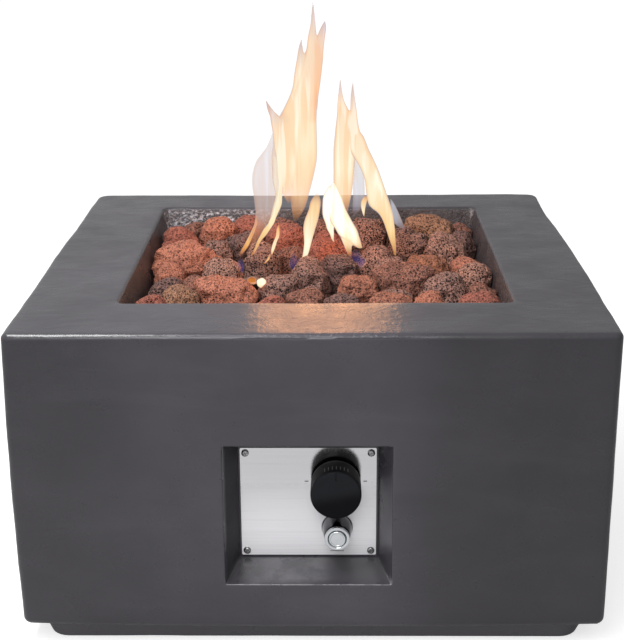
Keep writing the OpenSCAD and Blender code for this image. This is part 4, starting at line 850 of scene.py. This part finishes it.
def loose_parts(obj):
    """Meshes of a node's separate solids, in the order of their lowest vertex number."""
    work = bmesh.new()
    work.from_mesh(obj.data)
    work.verts.ensure_lookup_table()
    key = {}
    parent = list(range(len(work.verts)))

    def root(i):
        while parent[i] != i:
            parent[i] = parent[parent[i]]
            i = parent[i]
        return i

    for v in work.verts:
        spot = tuple(round(c / WELD) for c in v.co)
        other = key.setdefault(spot, v.index)
        parent[root(v.index)] = root(other)
    for e in work.edges:
        parent[root(e.verts[0].index)] = root(e.verts[1].index)
    groups = {}
    for f in work.faces:
        groups.setdefault(root(f.verts[0].index), []).append([tuple(v.co) for v in f.verts])
    work.free()
    return [groups[k] for k in sorted(groups)]


def rock_mesh(polygons, name, grain):
    """One rock from its plain faces: welded, remeshed evenly and rounded."""
    points = [p for polygon in polygons for p in polygon]
    faces = []
    start = 0
    for polygon in polygons:
        faces.append(tuple(range(start, start + len(polygon))))
        start += len(polygon)
    rock = mesh_object(name, points, faces)
    with editing(rock.data) as work:
        bmesh.ops.remove_doubles(work, verts=work.verts, dist=WELD)
    even_out(rock, grain, 2)
    return rock


def pit(mesh, seed):
    """Lumps, ridges and a few open holes pressed into a rock."""
    p = coordinates(mesh)
    lump = 2.0 * wave(p, 27.0, seed) + 1.8 * wave(p, 58.0, seed + 1)
    ridge = 1.1 * (0.5 - np.abs(wave(p, 88.0, seed + 2))) + 0.5 * wave(p, 190.0, seed + 3)
    hole = np.empty(len(p))
    for i, q in enumerate(p):
        near, at = noise.voronoi(Vector(q) * 120.0 + Vector((seed, 0.0, 0.0)))
        size = 0.18 + 0.30 * max(0.0, noise.noise(at[0] * 1.7))
        hole[i] = max(0.0, 1.0 - near[0] / size) ** 0.6
    push = lump + ridge - 2.0 * hole - 0.5
    set_coordinates(mesh, p + coordinates(mesh, "normal") * (push * ROCK_RELIEF * MM)[:, None])


def make_rocks(node):
    """Every solid of a node as a detailed rock, joined to one object."""
    rocks = []
    for index, polygons in enumerate(loose_parts(frame["nodes"][node])):
        rock = rock_mesh(polygons, f"{node}_{index}", HIDDEN_GRAIN.get(node, ROCK_GRAIN))
        pit(rock.data, index * 5 + len(node))
        rock.data.shade_smooth()
        tint = TINTS[node][index % len(TINTS[node])]
        tints = np.tile(tint, (len(rock.data.vertices), 1))
        mark(rock.data, "tint", tints, "FLOAT_COLOR", "color")
        rocks.append(rock)
    heap = join(rocks)
    heap.name = "stone_" + node.removeprefix("rocks_")
    piece(heap, "table", "lava_rock", node)


# Metal and plastic pieces

# Edges are broken by this width where faces meet at more than this angle in degrees
EDGE_WIDTH = 0.00025
EDGE_ANGLE = 28.0
# Corners nearer than this are one, and faces within this angle in degrees are one face
FINE_WELD = 2e-6
FLAT_ANGLE = 0.6


def refined(node, name, body, slot):
    """A node's form with its edges broken and its round faces smooth."""
    mesh = frame["nodes"][node].data.copy()
    mesh.name = name
    obj = new_object(name, mesh)
    with editing(mesh) as work:
        bmesh.ops.remove_doubles(work, verts=work.verts, dist=FINE_WELD)
        flat = math.radians(FLAT_ANGLE)
        bmesh.ops.dissolve_limit(work, angle_limit=flat, verts=work.verts, edges=work.edges)
    angle = math.radians(EDGE_ANGLE)
    modify(obj, "BEVEL", width=EDGE_WIDTH, segments=2, limit_method="ANGLE", angle_limit=angle)
    shade_by_angle(obj.data, EDGE_ANGLE)
    modify(obj, "WEIGHTED_NORMAL", keep_sharp=True, weight=100)
    return piece(obj, body, slot, node)


def turned(name, at, profile, sides=144, bored=False):
    """Form turned about an axis along -Y: rows of radius and reach out from the panel, in mm."""
    rings = [upright_circle(at, radius * MM, at.y - out * MM, sides) for radius, out in profile]
    obj = solid_between(name, rings, bored)
    shade_by_angle(obj.data, TURNED_ANGLE)
    return obj


# Faces of a turned form are smooth below this angle in degrees
TURNED_ANGLE = 32
KNOB_PROFILE = (
    (26.5, 37.0), (26.5, 5.5), (29.4, 5.5), (30.0, 5.8), (30.3, 6.6), (30.4, 12.0), (30.5, 20.0),
    (30.6, 30.0), (30.6, 38.0), (30.5, 39.6), (30.1, 40.9), (29.4, 41.7), (28.4, 42.0), (27.4, 42.1),
    (26.6, 42.1), (24.0, 42.0), (16.0, 41.9), (8.0, 41.8), (0.5, 41.8),
)
COLLAR_PROFILE = (
    (13.2, 26.0), (13.2, 3.3), (17.6, 3.3), (18.2, 3.8), (18.3, 5.0), (18.0, 9.0), (17.4, 14.0),
    (16.6, 20.0), (15.8, 25.0), (15.2, 27.4), (14.6, 28.2), (13.6, 28.4),
)
CAP_PROFILE = (
    (10.8, 28.6), (14.0, 28.6), (14.4, 28.8), (14.5, 29.2), (15.2, 29.8), (15.4, 30.6), (15.4, 32.4),
    (15.1, 33.2), (14.4, 33.6), (12.4, 33.6), (11.8, 33.4), (11.1, 32.6), (10.8, 32.0),
)
# Coil springs: the joint that closes each, its travel, and where along Y the spring stands still
SPRINGS = {
    "knob_spring": ("knob_press", 0.004, -0.3075),
    "button_spring": ("igniter_press", 0.0025, -0.3255),
}
# Pointer groove in the knob's face: half width, reach up the face and out from the panel
POINTER_HALF = 0.0009
POINTER_UP = (0.020, 0.032)
POINTER_OUT = (0.0408, 0.044)
# Knob's face: it begins this far out, and its painted reflection brightens over this range up the face
FACE_OUT = 0.0395
FACE_RANGE = (-0.012, 0.006)
# Plain print: how far it stands out and reaches in, size and distance of the ticks beside the
# knob, size and place of the bar below the igniter
PRINT_OUT = Vector((0.0, -0.0001, 0.0))
PRINT_IN = 0.00002
TICK = (0.0045, 0.0012)
TICK_FROM = 0.0335
BAR = (0.017, 0.0008)
BAR_DROP = 0.0334
# Ticks on the knob's side: directions in degrees, length, width and height, distance from the
# knob's axis and from the panel
SIDE_TICKS = range(62, 117, 9)
SIDE_TICK = (0.009, 0.0010, 0.0006)
SIDE_TICK_R = 0.0302
SIDE_TICK_OUT = 0.024


def bars(name, rows):
    """Thin printed bars, each from a corner and three edge vectors."""
    points = []
    faces = []
    for corner, along, across, lift in rows:
        first = len(points)
        for base in (corner, corner + lift):
            points += [base, base + along, base + along + across, base + across]
        for quad in ((0, 1, 2, 3), (7, 6, 5, 4), (0, 4, 5, 1), (1, 5, 6, 2), (2, 6, 7, 3), (3, 7, 4, 0)):
            faces.append(tuple(first + q for q in quad))
    return closed_object(name, points, faces)


def make_knob():
    """Knob with a pointer groove; its face carries a painted reflection, brighter towards the top."""
    knob = turned("dial_knob", KNOB_AT, KNOB_PROFILE, sides=200)
    low = (KNOB_AT.x - POINTER_HALF, KNOB_AT.y - POINTER_OUT[1], KNOB_AT.z + POINTER_UP[0])
    high = (KNOB_AT.x + POINTER_HALF, KNOB_AT.y - POINTER_OUT[0], KNOB_AT.z + POINTER_UP[1])
    boolean(knob, block("pointer", low, high))
    shade_by_angle(knob.data, TURNED_ANGLE)
    piece(knob, "knob", "knob_black", "gas_knob")
    x, y, z = coordinates(knob.data).T
    lean = z - KNOB_AT.z + 0.2 * (KNOB_AT.x - x)
    mark(knob.data, "painted_face_reflection", (y < KNOB_AT.y - FACE_OUT) * (0.28 + 0.72 * smoothstep(*FACE_RANGE, lean)))


def make_igniter():
    piece(turned("chrome_cap", IGNITER_AT, CAP_PROFILE, bored=True), "table", "chrome", "igniter_cap")
    collar = turned("chrome_collar", IGNITER_AT, COLLAR_PROFILE, bored=True)
    piece(collar, "table", "chrome", finish="dark_chrome")


def make_print():
    """Two ticks beside the knob, a bar below the igniter and ticks on the knob's side."""
    rows = []
    for side in (-1.0, 1.0):
        start = KNOB_AT + Vector((side * TICK_FROM, PRINT_IN, -0.5 * TICK[1]))
        rows.append((start, Vector((side * TICK[0], 0.0, 0.0)), Vector((0.0, 0.0, TICK[1])), PRINT_OUT))
    start = IGNITER_AT + Vector((-0.5 * BAR[0], PRINT_IN, -BAR_DROP))
    rows.append((start, Vector((BAR[0], 0.0, 0.0)), Vector((0.0, 0.0, BAR[1])), PRINT_OUT))
    piece(bars("panel_marks", rows), "table", "black_plastic", finish="print_grey")
    length, width, height = SIDE_TICK
    rows = []
    for degrees in SIDE_TICKS:
        a = math.radians(degrees)
        out = Vector((math.cos(a), 0.0, math.sin(a)))
        turn = Vector((-math.sin(a), 0.0, math.cos(a)))
        start = KNOB_AT + out * SIDE_TICK_R + turn * (-0.5 * width) + Vector((0.0, -SIDE_TICK_OUT, 0.0))
        rows.append((start, Vector((0.0, -length, 0.0)), turn * width, out * height))
    piece(bars("knob_marks", rows), "knob", "knob_black", finish="print_grey")


# Stage


def make_camera():
    yaw, pitch, roll = CAMERA_YAW, CAMERA_PITCH, CAMERA_ROLL
    ahead = Vector((math.sin(yaw) * math.cos(pitch), math.cos(yaw) * math.cos(pitch), -math.sin(pitch)))
    level = Vector((math.cos(yaw), -math.sin(yaw), 0.0))
    down = ahead.cross(level)
    right = math.cos(roll) * level + math.sin(roll) * down
    up = math.sin(roll) * level - math.cos(roll) * down
    data = bpy.data.cameras.new("camera")
    data.lens = CAMERA_LENS
    data.sensor_width = 36.0
    data.clip_start = 0.05
    camera = new_object("camera", data)
    turn = Matrix((right, up, -ahead)).transposed().to_4x4()
    camera.matrix_world = Matrix.Translation(CAMERA_AT) @ turn
    bpy.context.scene.camera = camera


# Lamps: place, point they face, size and power
LAMPS = {
    "strip": ((-0.60, -0.40, 1.75), (-0.2, -0.3, 0.4), (1.0, 0.3), 26.0),
    "key": ((-0.16, -1.20, 1.05), (-0.03, -0.3, 0.2), (0.6, 0.6), 7.0),
}


def make_lamps():
    for name, (at, target, size, power) in LAMPS.items():
        data = bpy.data.lights.new(name, "AREA")
        data.shape = "RECTANGLE"
        data.size, data.size_y = size
        data.energy = power
        lamp = new_object(name, data)
        lamp.location = at
        lamp.rotation_euler = (Vector(target) - Vector(at)).to_track_quat("-Z", "Y").to_euler()


def make_room():
    """White room, brighter from the left and from the front."""
    world = bpy.data.worlds.new("studio")
    world.use_nodes = True
    bpy.context.scene.world = world
    sky = Nodes(world.node_tree)
    direction = sky.node("TexCoord").outputs["Generated"]
    slope = sky.node("VectorMath", {0: direction, 1: WORLD_SLOPE}, operation="DOT_PRODUCT")
    level = sky.maths("ADD", slope.outputs["Value"], WORLD_LEVEL)
    back = sky.tree.nodes["Background"]
    sky.feed(back.inputs["Color"], (*WORLD_COLOUR, 1.0))
    sky.feed(back.inputs["Strength"], sky.maths("MAXIMUM", level, sky.times(sky.seen(), BACKDROP_LEVEL)))


def make_floor():
    corners = ((-1, -1), (1, -1), (1, 1), (-1, 1))
    points = [(x * FLOOR_HALF, y * FLOOR_HALF, 0.0) for x, y in corners]
    floor = mesh_object("floor", points, [(0, 1, 2, 3)])
    pale = Finish("floor", (FLOOR_ALBEDO,) * 3, 0.9, Specular_IOR_Level=0.0)
    pale.set(Emission_Color=(1.0, 1.0, 1.0, 1.0),
             Emission_Strength=pale.spread(pale.seen(), 0.0, 1.0, *FLOOR_GLOW))
    set_material(floor, pale.material)


# Flames


def flat(y, *rows):
    """Rows of a flame that lies in one plane, each without its y."""
    return [(x, y, z, half) for x, z, half in rows]


# Rows of x, y, z and half width in millimetres, from the foot to the tip
FLAMES = {
    "tall": flat(
        55, (-29, 435, 2), (-25, 448, 7.5), (-23, 460, 11), (-22, 477, 15), (-20, 494, 17.5),
        (-19, 512, 20.5), (-19, 529, 23), (-19, 553, 23), (-19, 578, 22.5), (-16, 601, 20.5),
        (-11, 623, 17), (-7, 645, 14.5), (-4, 661, 11.5), (-2, 677, 8.5), (-2, 694, 6), (-1, 710, 3.5),
        (-1, 726, 2), (-1, 740, 0.5),
    ),
    "spike": [
        (-3, 55, 583, 6), (-1, 55, 600, 6), (0, 54, 612, 6), (2, 53, 629, 6.5), (3, 52, 645, 7.5),
        (5, 52, 662, 7.5), (7, 52, 678, 6.5), (10, 52, 694, 5.5), (13, 52, 705, 4), (15, 52, 714, 1),
    ],
    "left": [
        (-37, 50, 462, 0.5), (-38, 50, 472, 5), (-39, 50, 484, 10), (-39, 50, 496, 14.5),
        (-38, 50, 514, 18), (-38, 50, 530, 20), (-35, 53, 562, 21), (-32, 55, 579, 20),
        (-26, 55, 600, 14.5), (-21, 55, 623, 9.5), (-19, 55, 645, 8), (-18, 55, 661, 6), (-18, 55, 678, 3),
        (-17, 55, 690, 0.5),
    ],
    "low": [
        (-89, 25, 393, 1), (-87, 25, 397, 2), (-82, 25, 406, 2.5), (-78, 26, 415, 3), (-72, 28, 423, 4.5),
        (-67, 30, 431, 5), (-61, 32, 439, 4.5), (-58, 34, 447, 4.5), (-52, 36, 464, 6), (-50, 38, 475, 5),
        (-50, 40, 485, 6), (-51, 42, 498, 8), (-48, 44, 515, 11.5), (-47, 46, 531, 13), (-46, 48, 546, 12),
        (-47, 48, 563, 11), (-51, 48, 580, 9.5), (-54, 47, 586, 7), (-59, 46, 593, 4.5),
        (-63, 46, 601, 2.5), (-66, 46, 609, 0.5),
    ],
    "strand_b": [
        (-105, 25, 394, 1), (-101, 25, 401, 3), (-96, 25, 409, 3.5), (-90, 26, 421, 3),
        (-85, 28, 432, 2.5), (-82, 30, 441, 2), (-82, 30, 454, 1),
    ],
    "strand_c": [
        (-59, -5, 404, 1), (-58, -5, 409, 2), (-56, -4, 416, 2.5), (-54, -3, 422, 2.5),
        (-51, -2, 429, 2.5), (-50, 0, 439, 2), (-49, 0, 446, 0.5),
    ],
    "strand_d": flat(-8, (-70, 391, 1), (-64, 398, 1.8), (-61, 406, 1.5)),
    "veil": [
        (-96, 25, 402, 5), (-87, 25, 417, 6.5), (-79, 26, 432, 7.5), (-71, 28, 449, 11.5),
        (-69, 30, 466, 15), (-68, 30, 480, 17.5), (-68, 30, 492, 19), (-68, 30, 509, 18.5),
        (-66, 30, 526, 15.5), (-63, 30, 536, 11.5), (-60, 30, 546, 6.5), (-58, 30, 556, 3.5),
        (-57, 30, 566, 0.5),
    ],
    "middle": [
        (-20, -10, 391, 1), (-15, -10, 399, 3), (-12, -10, 407, 4), (-9, -8, 423, 5.5), (-7, -6, 440, 8.5),
        (-4, -5, 453, 9.5), (0, -5, 467, 8), (2, -5, 479, 7), (4, -5, 490, 2),
    ],
    "white_left": flat(
        55, (27, 405, 1), (25, 410, 2), (24, 417, 3.2), (22, 424, 5), (21, 433, 6.5), (20, 445, 9.5),
        (21, 463, 10.5), (21, 474, 8.5), (23, 487, 3),
    ),
    "white_right": [
        (64, 45, 399, 3.5), (53, 46, 411, 11.5), (48, 46, 418, 14.5), (44, 48, 426, 15.5),
        (37, 50, 438, 15.5), (31, 52, 453, 13.5), (29, 52, 460, 13), (28, 52, 471, 10.5),
        (27, 52, 482, 6.5), (26, 52, 492, 2),
    ],
    "white_foot": [
        (50, 42, 384, 1.5), (48, 43, 395, 4), (46, 44, 406, 6.5), (44, 45, 417, 9), (42, 46, 427, 10.5),
        (38, 48, 436, 11.5),
    ],
    "fork": [
        (41, 55, 443, 4), (40, 55, 456, 8), (40, 56, 471, 11.5), (40, 58, 487, 14), (41, 60, 510, 15),
        (42, 60, 537, 16), (42, 60, 560, 14), (41, 60, 577, 11), (40, 60, 591, 8.5), (37, 60, 604, 5),
        (36, 60, 619, 2.5), (36, 60, 637, 0.5),
    ],
    "right": [
        (113, 25, 393, 1.5), (111, 25, 406, 3), (109, 27, 415, 4.5), (106, 30, 430, 6.5),
        (103, 32, 442, 8), (99, 35, 452, 10.5), (91, 38, 463, 15.5), (86, 41, 480, 14.5),
        (82, 44, 497, 12.5), (76, 47, 513, 12.5), (67, 50, 530, 13.5), (62, 52, 540, 13.5),
        (57, 55, 556, 12), (55, 56, 564, 8.5), (54, 57, 578, 6.5), (54, 58, 594, 4.5), (53, 58, 611, 3),
        (53, 58, 632, 0.5),
    ],
    "haze": flat(
        60, (54, 442, 1), (60, 455, 7), (62, 470, 8.5), (62, 487, 8.5), (62, 508, 7), (62, 525, 7.5),
        (62, 537, 7), (61, 546, 4),
    ),
    "curl": flat(42, (69, 446, 0.5), (68, 458, 3), (69, 467, 4), (72, 475, 3)),
    "right_veil": [
        (125, 32, 429, 1.5), (118, 33, 437, 6), (114, 34, 447, 6), (110, 35, 461, 3.5), (106, 35, 472, 1),
    ],
    "blue_right": flat(20, (58, 377, 8), (59, 386, 13), (58, 394, 9), (56, 405, 2)),
    "blue_middle": flat(5, (-27, 378, 5), (-27, 384, 8), (-28, 393, 7), (-29, 404, 2)),
    "blue_left": flat(-10, (-103, 377, 3), (-103, 383, 5), (-102, 392, 5), (-102, 402, 1)),
    "pilot": flat(-99, (-70, 384, 0.8), (-70, 387, 4.2), (-69, 391, 6.4), (-69, 395, 5.6), (-68, 398, 1)),
    "ember": flat(-64, (-86, 376, 0.6), (-85, 379, 4.6), (-84, 384, 5.6), (-84, 387, 5.2), (-84, 389, 1)),
}
# Tongues that grow together to one body
MERGED = {
    "great": ("tall", "spike", "left", "low"),
    "leaning": ("fork", "right"),
    "hot": ("white_left", "white_right", "white_foot"),
}
# Colour and density at the foot, above it, in the middle, below the tip and at the tip
HEIGHTS = (0.0, 0.16, 0.35, 0.82, 1.0)
CREAM = (
    (0.95, 0.40, 0.12, 0.0), (1.0, 0.68, 0.37, 0.60), (1.0, 0.88, 0.62, 0.97), (1.0, 0.78, 0.56, 0.95),
    (0.62, 0.50, 0.52, 0.75),
)
STRAND = (
    (0.95, 0.40, 0.10, 0.20), (1.0, 0.72, 0.34, 0.85), (1.0, 0.92, 0.66, 0.97), (1.0, 0.76, 0.54, 0.95),
    (0.62, 0.50, 0.52, 0.75),
)
PEACH = (
    (1.0, 0.66, 0.42, 0.90), (1.0, 0.62, 0.40, 0.92), (1.0, 0.64, 0.42, 0.94), (0.90, 0.66, 0.52, 0.90),
    (0.62, 0.50, 0.52, 0.80),
)
ORANGE = (
    (0.85, 0.28, 0.06, 0.0), (1.0, 0.48, 0.14, 0.50), (1.0, 0.58, 0.22, 0.65), (1.0, 0.50, 0.22, 0.30),
    (0.90, 0.42, 0.20, 0.0),
)
SPARK = (
    (1.0, 0.55, 0.20, 0.40), (1.1, 0.94, 0.62, 0.95), (1.1, 0.96, 0.70, 0.97), (1.0, 0.60, 0.26, 0.70),
    (0.95, 0.45, 0.20, 0.05),
)
GOLD = (
    (1.0, 0.60, 0.24, 0.35), (1.0, 0.86, 0.56, 0.92), (1.0, 0.90, 0.64, 0.96), (1.0, 0.66, 0.32, 0.80),
    (0.95, 0.52, 0.26, 0.10),
)
WHITE = (
    (1.0, 0.66, 0.34, 0.40), (1.1, 0.94, 0.64, 0.95), (1.25, 1.12, 0.84, 1.0), (1.35, 1.25, 1.0, 1.0),
    (1.1, 0.95, 0.74, 0.70),
)
FADING = (
    (0.85, 0.36, 0.14, 0.0), (0.95, 0.50, 0.24, 0.22), (1.0, 0.78, 0.48, 0.65), (1.3, 1.2, 0.92, 1.0),
    (1.5, 1.4, 1.1, 1.0),
)
LILAC = (
    (0.70, 0.24, 0.08, 0.0), (0.72, 0.30, 0.16, 0.30), (0.68, 0.54, 0.50, 0.42), (0.72, 0.63, 0.61, 0.40),
    (0.66, 0.58, 0.58, 0.30),
)
VIOLET = (
    (0.40, 0.32, 0.42, 0.0), (0.52, 0.46, 0.50, 0.30), (0.60, 0.57, 0.60, 0.42), (0.64, 0.61, 0.63, 0.38),
    (0.66, 0.62, 0.64, 0.15),
)
BLUE = (
    (0.02, 0.03, 0.20, 0.0), (0.03, 0.05, 0.32, 0.24), (0.06, 0.07, 0.30, 0.20), (0.14, 0.11, 0.28, 0.08),
    (0.26, 0.18, 0.34, 0.0),
)
EMBER = (
    (0.20, 0.06, 0.02, 0.6), (0.40, 0.11, 0.03, 0.95), (0.62, 0.19, 0.03, 1.2), (0.66, 0.22, 0.04, 1.2),
    (0.30, 0.12, 0.05, 0.3),
)
FLAME_COLOURS = {
    "low": STRAND, "right": STRAND, "spike": PEACH, "strand_b": ORANGE, "strand_c": SPARK,
    "strand_d": ORANGE, "veil": LILAC, "haze": VIOLET, "right_veil": VIOLET, "curl": GOLD,
    "middle": GOLD, "white_left": WHITE, "white_right": WHITE, "white_foot": FADING,
    "blue_right": BLUE, "blue_middle": BLUE, "blue_left": BLUE, "pilot": WHITE, "ember": EMBER,
}


def flame_finish():
    """Glowing gas: streaked upwards, paler and clearer at its rim, warmer in reflections."""
    f = Finish("flame", (1.0, 0.8, 0.5), 1.0)
    stored = f.stored("glow")
    glow = stored.outputs["Color"]
    edge = f.node("LayerWeight", {"Blend": 0.5}).outputs["Facing"]
    warm = f.spread(f.noise(1.0, 2.0, 0.5, (70.0, 40.0, 6.0), 0.5), 0.47, 0.60, 0.0, 0.75)
    core = f.blend(warm, glow, (1.0, 0.84, 0.72), "MULTIPLY")
    bright = f.spread(f.noise(1.0, 2.0, 0.5, (100.0, 50.0, 7.0), 0.4), 0.48, 0.60, 0.0, 0.9)
    core = f.blend(bright, core, f.tinted(glow, (1.05, 1.15, 1.30)))
    shown = f.blend(f.spread(edge, 0.12, 0.48, 0.0, 0.9), core, f.tinted(glow, (1.0, 0.80, 0.66)))
    shown = f.blend(f.spread(edge, 0.38, 0.70, 0.0, 0.85), shown, (0.58, 0.48, 0.49))
    seen = f.seen()
    shown = f.blend(seen, FLAME_WARMTH, shown)
    power = f.spread(seen, 0.0, 1.0, FLAME_GLOW, 1.0)
    light = f.node("Emission", {"Color": shown, "Strength": power}).outputs["Emission"]
    clear = f.node("BsdfTransparent").outputs["BSDF"]
    dense = f.times(stored.outputs["Alpha"], f.spread(edge, 0.42, 1.0, 1.0, 0.0))
    mix = f.node("MixShader", {0: dense, 1: clear, 2: light})
    f.feed(f.tree.nodes["Material Output"].inputs["Surface"], mix.outputs["Shader"])
    return f.material


def smooth_rows(rows, steps):
    """Rows with smooth ones between them, by cubic interpolation through each."""
    values = np.array(rows, float)
    padded = np.vstack([2 * values[0] - values[1], values, 2 * values[-1] - values[-2]])
    out = []
    for k in range(1, len(padded) - 2):
        a, b, c, d = padded[k - 1:k + 3]
        for t in np.arange(steps) / steps:
            out.append(0.5 * (2 * b + (c - a) * t + (2 * a - 5 * b + 4 * c - d) * t**2
                              + (3 * b - a - 3 * c + d) * t**3))
    out.append(values[-1])
    return np.array(out)


def tongue(name):
    """Closed mesh of oval sections along a flame's line, with each row's colour and density."""
    rows = smooth_rows(FLAMES[name], TONGUE_STEPS)
    rows[:, 3] = np.maximum(rows[:, 3], THINNEST)
    stops = np.array(FLAME_COLOURS.get(name, CREAM))
    share = (rows[:, 2] - rows[0, 2]) / (rows[-1, 2] - rows[0, 2])
    colours = np.stack([np.interp(share, HEIGHTS, stop) for stop in stops.T], axis=1)
    angles = np.linspace(0.0, 2 * math.pi, TONGUE_SIDES, endpoint=False)
    rings = []
    for x, y, z, half in rows:
        thick = min(half * FLAME_THICKNESS, FLAME_THICKEST)
        oval = [x + half * np.cos(angles), y + thick * np.sin(angles), np.full(TONGUE_SIDES, z)]
        rings.append(np.stack(oval, axis=1) * MM)
    return solid_between("flame_" + name, rings), rows, colours


def colour_flame(mesh, rows, colours):
    """Blends the colours of the nearest rows on to every point of the flame."""
    px, py, pz = coordinates(mesh).T / MM
    total = np.zeros((len(px), 4))
    weight = np.full(len(px), 1e-9)
    for (x, y, z, half), colour in zip(rows, colours):
        reach = half + 3.0
        far = ((px - x) ** 2 + (py - y) ** 2 + 4.0 * (pz - z) ** 2) / reach**2
        near = np.exp(-far) / reach**2
        total += near[:, None] * colour
        weight += near
    mark(mesh, "glow", total / weight[:, None], "FLOAT_COLOR", "color")


def make_flames():
    material = flame_finish()
    grouped = {name for names in MERGED.values() for name in names}
    alone = {name: (name,) for name in FLAMES if name not in grouped}
    for title, names in {**MERGED, **alone}.items():
        tongues, rows, colours = zip(*[tongue(name) for name in names])
        flame = tongues[0]
        if len(tongues) > 1:
            join(list(tongues))
            even_out(flame, FLAME_VOXEL, 3)
        flame.name = "flame_" + title
        colour_flame(flame.data, np.concatenate(rows), np.concatenate(colours))
        flame.data.shade_smooth()
        set_material(flame, material)


bpy.context.scene.view_settings.view_transform = "Standard"
make_camera()
make_room()
make_floor()
make_lamps()
make_flames()
make_shell()
for group in TINTS:
    make_rocks(group)

NODE_BODY = {n: b for b, members in frame["record"]["behaviour"]["bodies"].items() for n in members}
NODE_SLOT = {s["node"]: s["material_slot"] for s in frame["record"]["subparts"]}
MADE_ANEW = {"body_shell", "gas_knob", "igniter_cap", *TINTS}
for node in frame["nodes"]:
    if node not in MADE_ANEW:
        fine = refined(node, "fine_" + node, NODE_BODY[node], NODE_SLOT[node])
        if node in SPRINGS:
            span = np.ptp(coordinates(fine.data)[:, 1])
            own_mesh(fine)
make_knob()
make_igniter()
make_print()
